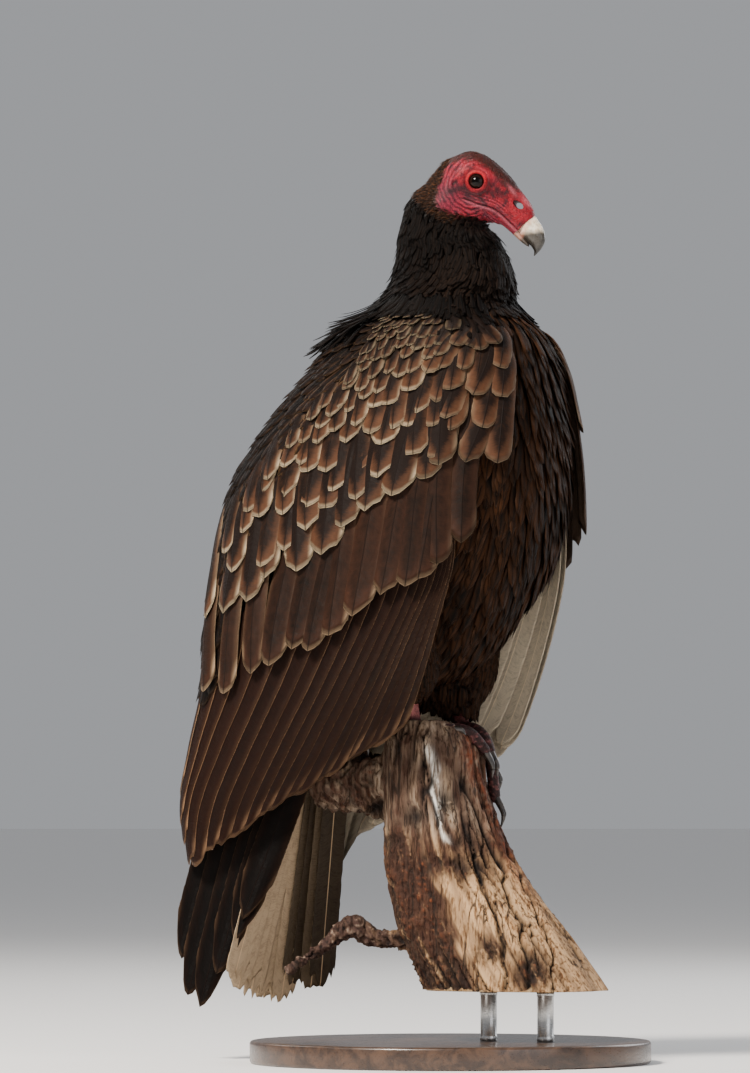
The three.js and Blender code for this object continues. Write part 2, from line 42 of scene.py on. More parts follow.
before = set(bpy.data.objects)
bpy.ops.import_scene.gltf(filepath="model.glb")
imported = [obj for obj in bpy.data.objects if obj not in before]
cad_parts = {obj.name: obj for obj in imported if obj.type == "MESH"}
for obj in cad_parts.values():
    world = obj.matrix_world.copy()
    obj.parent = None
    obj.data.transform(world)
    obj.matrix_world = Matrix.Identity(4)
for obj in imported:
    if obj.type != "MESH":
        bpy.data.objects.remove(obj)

TURN = 2.0 * math.pi
FACES = {"right": -1.0, "left": 1.0}

# Head axes in the world: along the bill, up and to the left, from the middle of the line through both eyes
EYE_MIDDLE = np.array([7.0, -23.0, 703.0])
HEAD_YAW = math.radians(18.0)
HEAD_PITCH = math.radians(33.0)
EYE_SPREAD = 12.9
EYE_RADIUS = 7.6
YAW_SIN, YAW_COS = math.sin(HEAD_YAW), math.cos(HEAD_YAW)
PITCH_SIN, PITCH_COS = math.sin(HEAD_PITCH), math.cos(HEAD_PITCH)
HEAD_AXES = np.array([
    [YAW_SIN * PITCH_COS, -YAW_COS * PITCH_COS, -PITCH_SIN],
    [YAW_SIN * PITCH_SIN, -YAW_COS * PITCH_SIN, PITCH_COS],
    [YAW_COS, YAW_SIN, 0.0],
])

# The head and upper neck are cut by half-planes through a sideways line under the bill.
# [angle in degrees, distance of the outer line, distance of the throat line]
PIVOT = (43.8, -28.0)
HEAD_ARC = [
    [74, 30.8, 8.0], [82, 33.8, 8.2], [90, 36.4, 8.3], [100, 39.8, 8.6], [109, 44.2, 9.2],
    [115.4, 49.4, 10.0], [122, 55.2, 10.8], [127, 60.5, 11.6], [132.5, 66.9, 12.8], [138.6, 74.0, 14.0],
    [144.4, 78.5, 15.2],
    [151, 80.2, 17.0], [157, 80.8, 18.6], [162.4, 79.6, 20.0], [169, 78.4, 22.0], [175.4, 78.2, 23.5],
    [184, 81.5, 23.5], [193, 83.0, 20.0], [201, 82.0, 16.0], [207, 82.6, 13.2], [213, 84.6, 11.2],
]
# Half width of the head at distances along the bill
HEAD_WIDTH = [
    [-42, 9.5], [-36, 12.0], [-30, 14.6], [-26, 16.8], [-19, 19.2], [-10, 19.7], [0, 17.7], [8, 16.1],
    [16, 14.5], [23, 12.6], [30, 10.8], [37, 9.6], [44, 8.6], [52, 7.3], [56, 7.0],
]
# Skin below that, by height: [height, half width, front, back, squareness]
SKIN_LEVELS = [
    [298, 5, 60, 104, 2.2], [302, 20, 30, 124, 2.2], [312, 36, -2, 140, 2.2], [328, 48, -24, 152, 2.3],
    [350, 62, -42, 163, 2.4], [380, 80, -62, 166, 2.6], [410, 90, -76, 165, 2.7], [450, 95, -85, 160, 2.7],
    [490, 93, -87, 148, 2.6], [530, 86, -84, 122, 2.5], [555, 79, -80, 100, 2.4], [580, 67, -71, 80, 2.3],
    [604, 47, -49.5, 58, 2.2], [620, 37, -47, 46, 2.1], [640, 31, -42, 41.5, 2.1],
    [655.6, 28, -34.4, 39.5, 2.1],
]
WING_LEVELS = [
    [40, 48, 30, 224, 5], [90, 56, 16, 218, 5], [128, 62, 0, 214, 5], [200, 78, -30, 220, 5],
    [250, 88, -50, 211, 4.5], [300, 97, -66, 199, 4], [350, 103, -82, 197, 3.5], [395, 106, -94, 193, 3],
    [450, 106, -99, 183, 2.75], [490, 103, -99, 163, 2.6], [530, 96, -95, 133, 2.5], [555, 89, -91, 112, 2.4],
    [580, 76, -81, 93, 2.3], [592, 62, -67, 78, 2.2], [604, 53, -57, 61, 2.2], [616, 46, -51, 54, 2.1],
]
# Line of the mouth: [along the bill, up]
MOUTH = [(-4, -18.0), (-1, -17.1), (4, -16.0), (11.5, -14.4), (18, -12.1), (23.7, -11.0), (30, -11.4),
         (38, -13.1), (49, -15.4)]

# The crown's outline above the eyes: rows of [along the bill, up]
CROWN_LINE = np.array([
    (-34, -9), (-31, 0), (-26, 9.8), (-19, 17.8), (-10, 21), (0, 21.2), (8, 20.3), (16, 18.4), (23, 16.4),
    (30, 13.7), (37, 11)])
# Height of the lids over the head's middle plane at distances from the eye's middle
LID_RIMS = [(5.3, 16.1), (6.3, 18.3), (7.3, 19.1), (8.3, 18.45), (9.2, 17.35), (10.6, 18.1), (13, 17.6)]
# Painted shade in the hollows and creases of the face: [along the bill, up, half length, half height, turn in
# radians]
PAINTED_HOLLOW_SHADE = [
    (12.2, 8.6, 4.0, 2.2, 0.2), (17.0, 3.6, 3.2, 3.0, 0.5), (17, -2.6, 4.2, 2.2, -0.4),
    (24, 4.0, 2.0, 3.6, 0.3), (-5.5, -9.8, 6.0, 3.0, 0.7), (1, -13.4, 7.5, 2.6, -0.2),
    (12, -10.5, 6.0, 2.4, -0.25), (-12, -17, 7, 3, 0.9)]

# Bill rings in the head's middle plane: [top along, top up, foot along, foot up, half width]
BILL_UPPER = [
    [52.2, 1.8, 47.4, -15.4, 7.0], [55, 1.0, 49.6, -17.0, 7.2], [57.6, -0.2, 52.2, -18.1, 7.05],
    [63, -2.9, 57.2, -19.1, 6.5],
    [67.8, -7.1, 61.6, -20.0, 5.6], [70.3, -11.7, 64.8, -21.0, 4.3], [71, -17.4, 66.9, -22.2, 2.9],
    [70.2, -22.2, 68.1, -24.0, 1.4], [69.4, -25.2, 68.9, -25.5, 0.4],
]
BILL_LOWER = [
    [47.4, -14.0, 46.2, -20.2, 5.6], [52.0, -16.4, 51.4, -21.2, 4.9], [56.2, -18.0, 56.0, -21.8, 4.0],
    [59.4, -19.2, 59.6, -21.9, 2.4], [61.2, -20.4, 61.4, -21.6, 0.6],
]
# Leg joints from hip to foot, and toes: the toe's line, then its claw's
LEGS = {
    "right": ((-48, 22, 354), (-41, 17, 314), (-29, 21, 288), (-25, 21, 267)),
    "left": ((48, 16, 354), (42, 8, 314), (32, 7, 288), (29, 5, 267)),
}
TOES = {
    "right": {
        "inner": (((-22, 18, 266), (-9, 9, 265.5), (2, 0, 265.5), (4.3, -2, 264.6)),
                  ((3, -1, 265), (9, -6, 265), (12.5, -9, 261))),
        "middle": (((-24, 17, 266), (-13, -3, 265.5), (-2, -17, 263), (6, -27, 250), (7, -29, 246)),
                   ((6.5, -28, 248), (9, -33, 237), (9, -33, 227))),
        "outer": (((-27, 16, 266), (-24.5, 1, 266), (-19, -9, 266.5), (-18, -11, 265.8)),
                  ((-18.5, -10.5, 266), (-15, -17, 265), (-13.5, -20.5, 261))),
        "back": (((-26, 25, 265), (-30, 37, 266), (-33, 45, 263), (-34, 47.5, 261)),
                 ((-33.6, 47, 261.5), (-36, 54, 253), (-36, 55, 245))),
    },
    "left": {
        "inner": (((27, 2, 266), (21, -12, 265), (18.5, -21, 259), (17.5, -26.5, 249), (17.2, -28, 246)),
                  ((17.3, -27.5, 247.5), (16.5, -33.5, 237), (16.5, -33.5, 228))),
        "middle": (((29, 0, 266), (28, -14, 261), (27, -22, 246), (26, -27, 214), (26, -29, 209)),
                   ((26, -28.5, 211), (25.5, -35, 198), (25, -32.5, 186))),
        "outer": (((32, 3, 265), (42, -6, 258), (46, -11, 247), (47, -14, 238), (47.4, -16, 234)),
                  ((47.3, -15, 236), (48, -21, 226), (48, -20, 216))),
        "back": (((28, 10, 264), (26, 24, 266), (24, 34, 266), (23.6, 38, 265)),
                 ((23.7, 37, 265.2), (22, 46, 261), (21, 50, 254))),
    },
}


# Arrays and shapes


def ramp(x, low, high):
    """0 below low, 1 above high, and 3t^2 - 2t^3 between them with t = (x - low) / (high - low)."""
    t = np.clip((np.asarray(x, float) - low) / (high - low), 0.0, 1.0)
    return t * t * (3.0 - 2.0 * t)


def hill(x, width):
    """exp(-(x / width)^2): 1 at x = 0, fading over width."""
    return np.exp(-np.square(np.asarray(x, float) / width))


def blend(a, b, share):
    """a where share is 0, b where it is 1."""
    return a + (b - a) * share


def smooth(rows, keys):
    """Values of a table at each key on the cubic through its rows; slopes are the neighbours' chords."""
    rows = np.asarray(rows, float)
    x, y = rows[:, 0], rows[:, 1:]
    low = np.maximum(np.arange(len(x)) - 1, 0)
    high = np.minimum(np.arange(len(x)) + 1, len(x) - 1)
    slope = (y[high] - y[low]) / (x[high] - x[low])[:, None]
    i = np.clip(np.searchsorted(x, keys, side="right") - 1, 0, len(x) - 2)
    span = (x[i + 1] - x[i])[..., None]
    t = np.clip((np.asarray(keys, float) - x[i])[..., None] / span, 0.0, 1.0)
    t2, t3 = t * t, t * t * t
    return (y[i] * (2 * t3 - 3 * t2 + 1) + y[i + 1] * (3 * t2 - 2 * t3)
            + span * (slope[i] * (t3 - 2 * t2 + t) + slope[i + 1] * (t3 - t2)))


def power(value, squareness):
    """sign(v) |v|^(2 / n): turns sine and cosine into a rounded square of squareness n."""
    return np.sign(value) * np.abs(value) ** (2.0 / squareness)


def scramble(i, j, k, seed):
    """Repeatable numbers in 0..1 at whole-number places, from mixed and folded integers."""
    n = (i * 73856093) ^ (j * 19349663) ^ (k * 83492791) ^ (seed * 49979693)
    n = ((n ^ (n >> 13)) * 1274126177) & 0x7FFFFFFF
    n = ((n ^ (n >> 11)) * 668265263) & 0x7FFFFFFF
    return ((n >> 7) & 0xFFFF) / 65535.0


def noise(points, seed=0):
    """Smooth value noise in -1..1: scrambled values at whole-number places, joined by 3t^2 - 2t^3."""
    points = np.asarray(points, float)
    whole = np.floor(points).astype(np.int64)
    part = points - whole
    part = part * part * (3.0 - 2.0 * part)
    total = 0.0
    for corner in range(8):
        step = np.array([corner & 1, corner >> 1 & 1, corner >> 2 & 1])
        weight = np.prod(np.where(step, part, 1.0 - part), axis=-1)
        at = whole + step
        total = total + weight * scramble(at[..., 0], at[..., 1], at[..., 2], seed)
    return 2.0 * total - 1.0


def layered(points, seed=0, octaves=3):
    """Sum of noise at doubling frequency and halving strength, in about -1..1."""
    total, strength = 0.0, 0.5
    for octave in range(octaves):
        total = total + strength * noise(points * 2.0 ** octave, seed + octave)
        strength *= 0.5
    return total / (1.0 - 0.5 ** octaves)


def linear(code):
    """Linear red, green and blue of a hexadecimal screen colour."""
    value = np.array([int(code[i:i + 2], 16) for i in (0, 2, 4)]) / 255.0
    return np.where(value <= 0.04045, value / 12.92, ((value + 0.055) / 1.055) ** 2.4)


def painted(base, *coats):
    """Linear colours: a base, or its hexadecimal code, with each (code, share) laid over it in turn."""
    colour = linear(base) if isinstance(base, str) else base
    for code, share in coats:
        colour = blend(colour, linear(code), np.clip(share, 0.0, 1.0)[..., None])
    return colour


def circle(count):
    """count angles evenly round a turn, from 0."""
    return np.arange(count) / count * TURN


def unit(vectors):
    """Vectors divided by their lengths."""
    return vectors / np.maximum(np.linalg.norm(vectors, axis=-1, keepdims=True), 1e-9)


def walked(points):
    """Distance of each point from the first, along the line through them."""
    return np.concatenate([[0], np.cumsum(np.linalg.norm(np.diff(points, axis=0), axis=1))])


def grid_faces(rows, cols, wrap):
    """Quads of a grid of rows x cols points, joined round the columns if wrap is true."""
    r = np.arange(rows - 1)[:, None]
    c = np.arange(cols if wrap else cols - 1)[None]
    d = (c + 1) % cols
    quads = np.stack([r * cols + c, r * cols + d, (r + 1) * cols + d, (r + 1) * cols + c], axis=-1)
    return quads.reshape(-1, 4)


def capped(grid):
    """Points and faces of a closed body from a grid of rings, each end closed by a fan to its middle."""
    rows, cols = grid.shape[:2]
    points = np.concatenate([grid.reshape(-1, 3), grid[:1].mean(axis=1), grid[-1:].mean(axis=1)])
    c = np.arange(cols)
    d = (c + 1) % cols
    start, end = np.full(cols, rows * cols), np.full(cols, rows * cols + 1)
    last = (rows - 1) * cols
    fans = np.concatenate([np.stack([start, d, c], -1), np.stack([end, last + c, last + d], -1)])
    return points, [grid_faces(rows, cols, True), fans]


def closed(grid):
    """A capped grid with its faces turned outward."""
    points, faces = capped(grid)
    return points, outward(points, faces)


def outward(points, faces):
    """The faces, turned round if the volume that they enclose comes out negative."""
    quads = [f for f in faces if f.shape[1] == 4]
    tris = [f for f in faces if f.shape[1] == 3]
    tris += [f[:, half] for half in ([0, 1, 2], [0, 2, 3]) for f in quads]
    corners = points[np.concatenate(tris)]
    volume = np.einsum("ij,ij->i", corners[:, 0], np.cross(corners[:, 1], corners[:, 2])).sum()
    return faces if volume > 0 else [f[:, ::-1] for f in faces]


def joined(bodies):
    """One list of points and faces from several bodies of (points, faces)."""
    points, faces, first = [], [], 0
    for body, sides in bodies:
        points.append(body)
        faces += [f + first for f in sides]
        first += len(body)
    return np.concatenate(points), faces


def curve(points, count):
    """count points evenly along the cubic through points, their unit tangents, and each one's share of it."""
    points = np.asarray(points, float)
    keys = np.arange(len(points))
    fine = smooth(np.column_stack([keys, points]), np.linspace(0, len(points) - 1, 400))
    length = walked(fine)
    want = np.linspace(0, length[-1], count)
    place = np.stack([np.interp(want, length, fine[:, k]) for k in range(3)], axis=-1)
    share = np.interp(want, length, np.linspace(0, 1, 400))
    return place, unit(np.gradient(place, axis=0)), share


def tube(points, radii, sides, count, up=(0.0, 0.0, 1.0), shape=None):
    """Rings round the curve through points: centre + r (cos a U + sin a V), U nearest to up, r from radii.

    shape(along, angle) may return a factor for r; along is millimetres from the start.
    """
    place, tangent, share = curve(points, count)
    side = unit(np.cross(np.broadcast_to(up, tangent.shape), tangent))
    over = np.cross(tangent, side)
    radius = smooth(np.column_stack([np.linspace(0, 1, len(radii)), radii]), share)[:, 0]
    angle = circle(sides)
    factor = shape(walked(place)[:, None], angle[None]) if shape else 1.0
    spread = radius[:, None] * factor
    return (place[:, None] + (spread * np.cos(angle))[..., None] * over[:, None]
            + (spread * np.sin(angle))[..., None] * side[:, None])


def in_world(s, h, left):
    """World place of head distances: along the bill, up, and to the left."""
    along, up, side = HEAD_AXES
    return EYE_MIDDLE + s[..., None] * along + h[..., None] * up + left[..., None] * side


def normals_of(grid):
    """Unit normals of a grid of points that wraps round its columns."""
    down = np.gradient(grid, axis=0)
    across = np.roll(grid, -1, axis=1) - np.roll(grid, 1, axis=1)
    return unit(np.cross(across, down))


# Pieces, materials and nodes


def new_piece(name, points, faces, material, slot, nodes, corners=None, values=None, paint=None):
    """Mesh object from millimetre points and faces, riding on the root body, in place of the CAD nodes.

    corners holds UV maps per face corner, values holds attributes per point, of 3 values or 4 (colour), and
    paint is a colour per point.
    """
    mesh = bpy.data.meshes.new(name)
    mesh.vertices.add(len(points))
    mesh.vertices.foreach_set("co", (np.asarray(points) * 0.001).astype(np.float32).ravel())
    sizes = np.concatenate([np.full(len(f), f.shape[1]) for f in faces])
    loops = np.concatenate([f.ravel() for f in faces]).astype(np.int32)
    mesh.loops.add(len(loops))
    mesh.loops.foreach_set("vertex_index", loops)
    mesh.polygons.add(len(sizes))
    mesh.polygons.foreach_set("loop_start", np.concatenate([[0], np.cumsum(sizes)[:-1]]).astype(np.int32))
    mesh.update(calc_edges=True)
    mesh.shade_smooth()
    for key, uv in (corners or {}).items():
        layer = mesh.uv_layers.new(name=key)
        layer.uv.foreach_set("vector", np.asarray(uv, np.float32).ravel())
    values = dict(values or {})
    if paint is not None:
        values["Paint"] = np.column_stack([paint, np.ones(len(paint))])
    for key, data in values.items():
        kind, field = {3: ("FLOAT_VECTOR", "vector"), 4: ("FLOAT_COLOR", "color")}[data.shape[1]]
        layer = mesh.attributes.new(key, kind, "POINT")
        layer.data.foreach_set(field, np.asarray(data, np.float32).ravel())
    mesh.materials.append(material)
    piece = bpy.data.objects.new(name, mesh)
    bpy.context.scene.collection.objects.link(piece)
    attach(piece, "root")
    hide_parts(*nodes)


def put(tree, kind, *inputs, into=None, **settings):
    """A node with its settings, whose inputs are wired or set in order, and by name or number from into."""
    node = tree.nodes.new("ShaderNode" + kind)
    for key, value in settings.items():
        setattr(node, key, value)
    named = [(node.inputs[key], value) for key, value in (into or {}).items()]
    for socket, value in list(zip(node.inputs, inputs)) + named:
        if isinstance(value, bpy.types.NodeSocket):
            tree.links.new(value, socket)
        else:
            socket.default_value = (*value, 1.0) if socket.type == "RGBA" else value
    return node


def math_node(tree, operation, *inputs, clamp=False):
    """Output of a Math node."""
    return put(tree, "Math", *inputs, operation=operation, use_clamp=clamp).outputs[0]


def mixed(tree, share, a, b, blend_type="MIX"):
    """Colour output of a Mix node: a where share is 0, b where it is 1."""
    into = {0: share, 6: a, 7: b}
    return put(tree, "Mix", into=into, data_type="RGBA", blend_type=blend_type).outputs[2]


def darkened(tree, colour, factor):
    """Colour output of a Mix node that multiplies a colour by a factor for red, green and blue."""
    return mixed(tree, 1.0, colour, factor, "MULTIPLY")


def mapped(tree, value, low, high, to_low=0.0, to_high=1.0):
    """Output of a Map Range node with smooth ends."""
    values = (value, low, high, to_low, to_high)
    return put(tree, "MapRange", *values, interpolation_type="SMOOTHSTEP").outputs[0]


def speckle(tree, vector, scale, detail=3.0, roughness=0.55, distortion=0.0):
    """Output of a Noise Texture, 0..1."""
    into = {"Vector": vector, "Scale": scale, "Detail": detail, "Roughness": roughness}
    return put(tree, "TexNoise", into={**into, "Distortion": distortion}).outputs["Fac"]


def place_of(tree, scale=(1.0, 1.0, 1.0)):
    """Object coordinates times scale."""
    place = put(tree, "TexCoord").outputs["Object"]
    return put(tree, "VectorMath", place, scale, operation="MULTIPLY").outputs[0]


def attribute(tree, name, kind="Color"):
    """Output of a named attribute."""
    return put(tree, "Attribute", attribute_name=name).outputs[kind]


def new_material(name, **constants):
    """A material with a Principled BSDF set to constants. Returns (material, tree, shader)."""
    material = bpy.data.materials.new(name)
    material.use_nodes = True
    tree = material.node_tree
    tree.nodes.clear()
    constants = {key.replace("_", " "): value for key, value in constants.items()}
    shader = put(tree, "BsdfPrincipled", into=constants)
    put(tree, "OutputMaterial", shader.outputs[0])
    return material, tree, shader


def finish_material(tree, shader, colour=None, roughness=None, height=None, depth=0.0005, strength=0.6):
    """Wires colour, roughness and a bump from height into the shader."""
    if colour is not None:
        tree.links.new(colour, shader.inputs["Base Color"])
    if roughness is not None:
        tree.links.new(roughness, shader.inputs["Roughness"])
    if height is not None:
        bump = put(tree, "Bump", into={"Strength": strength, "Distance": depth, "Height": height})
        tree.links.new(bump.outputs[0], shader.inputs["Normal"])


# Skin: one tube from the bill's base over the head and down the neck and body, with the legs

HEAD_RINGS, BODY_RINGS, AROUND = 300, 60, 192


def skin_grid():
    """Rings of points from the bill's base to the vent; columns start at the throat and go by the right.

    A head ring at angle t from the pivot has reach (in + out) / 2 - (out - in) / 2 C(2 pi f) and sideways
    place -w S(2 pi f), C and S being cosine and sine to the power 2 / 2.2. Body rings are level. The head's
    turn to the left fades away down the neck.
    """
    angle = circle(AROUND)
    arc = np.linspace(74, 213, HEAD_RINGS)
    out, into = smooth(HEAD_ARC, arc).T
    reach = (out + into)[:, None] / 2 - (out - into)[:, None] / 2 * power(np.cos(angle), 2.2)
    s = PIVOT[0] + np.cos(np.radians(arc))[:, None] * reach
    h = PIVOT[1] + np.sin(np.radians(arc))[:, None] * reach
    width = blend(smooth(HEAD_WIDTH, s)[..., 0], 28.0, ramp(arc, 165, 206)[:, None])
    head = in_world(s, h, -width * power(np.sin(angle), 2.2))
    turn = (-HEAD_YAW * ramp(arc, 170, 213))[:, None]
    x, y = head[..., 0].copy(), head[..., 1] - 7.0
    head[..., 0] = x * np.cos(turn) - y * np.sin(turn)
    head[..., 1] = x * np.sin(turn) + y * np.cos(turn) + 7.0
    return np.concatenate([head, level_rings(SKIN_LEVELS, np.linspace(652, 298, BODY_RINGS), AROUND)])


def level_rings(levels, heights, around):
    """Level rounded-square rings of a table: x = -w S(2 pi f), y = middle - depth C(2 pi f)."""
    angle = circle(around)
    half, front, back, squareness = smooth(levels, heights).T[..., None]
    x = -half * power(np.sin(angle), squareness)
    y = (front + back) / 2 - (back - front) / 2 * power(np.cos(angle), squareness)
    return np.stack([x, y, np.broadcast_to(heights[:, None], x.shape)], axis=-1)


def to_head(points):
    """Distances along the bill, up and to the left for world points."""
    return np.moveaxis((points - EYE_MIDDLE) @ HEAD_AXES.T, -1, 0)


def path_distance(s, h, path):
    """Distance of (s, h) from a line through the path's points, and which share of it is nearest."""
    best, where = np.full(s.shape, 1e9), np.zeros(s.shape)
    for k, (a, b) in enumerate(zip(path[:-1], path[1:])):
        run = (b[0] - a[0], b[1] - a[1])
        t = np.clip(((s - a[0]) * run[0] + (h - a[1]) * run[1]) / (run[0] ** 2 + run[1] ** 2), 0, 1)
        away = np.hypot(s - a[0] - t * run[0], h - a[1] - t * run[1])
        where = np.where(away < best, (k + t) / (len(path) - 1), where)
        best = np.minimum(away, best)
    return best, where


def pulled(distance, rim, reach):
    """Distances drawn towards a rim, so that its edge is crisp: rim +- reach (|d - rim| / reach)^2.5."""
    away = distance - rim
    near = np.sign(away) * reach * (np.abs(away) / reach) ** 2.5 + rim
    return np.where(np.abs(away) < reach, near, distance)


def folds(s, h):
    """Strength and height of the skin folds that ring the eye behind and below it.

    The height is |sin(pi q)|^0.7 with q = r / 3.3 + noise, r being the distance from the eye.
    """
    places = np.stack([s, h, np.zeros_like(s)], axis=-1)
    r = np.hypot(s + 1.0, 0.94 * (h + 1.5))
    bearing = np.degrees(np.arctan2(h, -s))
    mask = ramp(bearing, -150, -118) * (1 - ramp(bearing, 38, 78))
    mask = mask * ramp(r, 12.0, 15.5) * (1 - ramp(r, 36, 42))
    q = r / 3.3 + 0.42 * noise(places / 9.0, 3) + 0.16 * noise(places / 3.2, 4)
    return mask * (0.72 + 0.28 * noise(places / 5.0, 5)), np.abs(np.sin(math.pi * q)) ** 0.7


def face_edge(points):
    """Depth in millimetres below the bare face's lower edge, a slanting plane, flatter under the throat."""
    s = to_head(points)[0]
    level = 682.0 + 0.75 * points[..., 1]
    throat = np.where(s < 30, 673.0 + 0.17 * (points[..., 1] + 12.0), -1e3)
    return np.maximum(level, throat) - points[..., 2]


def nape_depth(s, h):
    """How far a place lies behind the line where the nape's bristles begin."""
    return -s - np.interp(-h, [-12, 0, 20, 41], [30, 28.5, 23.0, 13.0])


def nostril_measure(s, h):
    """1 on the rim of the nostril, less inside it: ((s - 37.4) / 4.8)^2 + ((h - 2.2) / 2.6)^2, rooted."""
    return np.hypot((s - 37.4) / 4.8, (h - 2.2 + 0.06 * (s - 37.4)) / 2.6)


def with_relief(grid):
    """The head's rings with lids, folds, mouth, cere, ear and nostril rims pressed into them."""
    grid = grid.copy()
    normal = normals_of(grid)
    s, h, left = to_head(grid[:HEAD_RINGS])
    ns, nh, nl = np.moveaxis(normal[:HEAD_RINGS] @ HEAD_AXES.T, -1, 0)
    side = ramp(np.abs(nl), 0.2, 0.75)
    bare = 1 - ramp(np.linspace(74, 213, HEAD_RINGS), 168, 182)[:, None]
    places = np.stack([s, h, left], axis=-1)
    mask, fold = folds(s, h)
    lift = 0.85 * mask * (fold - 0.62) * bare * (0.35 + 0.65 * side)
    mouth, share = path_distance(s, h, MOUTH)
    open_mouth = ramp(share, 0.0, 0.12) * side
    lift = lift + open_mouth * (0.35 * hill(mouth - 1.9, 1.2) - 1.0 * hill(mouth, 0.5))
    lift = lift + 0.9 * side * hill(s - 41, 9) * hill(h - 1.5, 6.5) * ramp(s, 24, 34)
    nostril = nostril_measure(s, h)
    lift = lift + 0.35 * side * hill(nostril - 1.35, 0.22)
    lift = lift - 2.0 * side * hill(s + 14.2, 1.2) * hill(h + 10.2, 3.4)
    lift = lift + 0.5 * side * hill(np.hypot(s + 14.2, (h + 10.2) / 1.9) - 2.9, 0.9)
    lift = lift + 0.8 * side * hill(h - 10.2 + 0.035 * (s - 1) ** 2, 1.7) * hill(s - 1, 8)
    crown = ramp(h, 4, 13) * (1 - ramp(s, 24, 34))
    lift = lift + bare * (0.26 * crown + 0.10) * layered(places / 1.7, 11)
    lift = lift + 0.12 * bare * layered(places / 4.5, 17)
    lores = hill(s - 18, 8) * hill(h - 3, 8) * side
    lift = lift + 0.22 * lores * np.sin(TURN * (s / 2.3 + 0.3 * noise(places / 5, 23)))
    chin = hill(h + 19.5, 3.5) * hill(s - 30, 12)
    lift = lift + 0.25 * chin * np.sin(TURN * (h / 2.1 + 0.05 * s))
    s, h, left = s + ns * lift, h + nh * lift, left + nl * lift
    s, h, left = pressed_lids(s, h, left)
    nostril = nostril_measure(s, h)
    draw = np.where(nostril < 1.6, pulled(nostril, 1.0, 0.3) / np.maximum(nostril, 1e-6), 1.0)
    s, h = 38.6 + (s - 38.6) * draw, 2.5 + (h - 2.5) * draw
    grid[:HEAD_RINGS] = in_world(s, h, left)
    return grid, nostril


def pressed_lids(s, h, left):
    """Skin pressed into lids round each eyeball.

    Within 5.4 of the eye's middle it lies 2.2 under the ball, then rises to a rim, a fold and a groove.
    """
    d = np.hypot(s, h)
    ball = EYE_SPREAD + np.sqrt(EYE_RADIUS ** 2 - np.minimum(d, 5.4) ** 2) - 2.2
    rims = smooth(LID_RIMS, d)[..., 0]
    bearing = np.arctan2(h, s)
    rims = rims + 0.14 * np.sin(26 * bearing + 2 * np.sin(3 * bearing)) * hill(d - 7.6, 1.3)
    shaped = np.where(d < 5.3, ball, rims)
    share = ramp(d, 8.6, 13.5)
    draw = np.where(d < 9, pulled(d, 5.9, 0.85) / np.maximum(d, 1e-6), 1.0)
    near = (d < 13.5) & (np.abs(left) > 8)
    left = np.where(near, np.sign(left) * blend(shaped, np.abs(left), share), left)
    return np.where(near, s * draw, s), np.where(near, h * draw, h), left


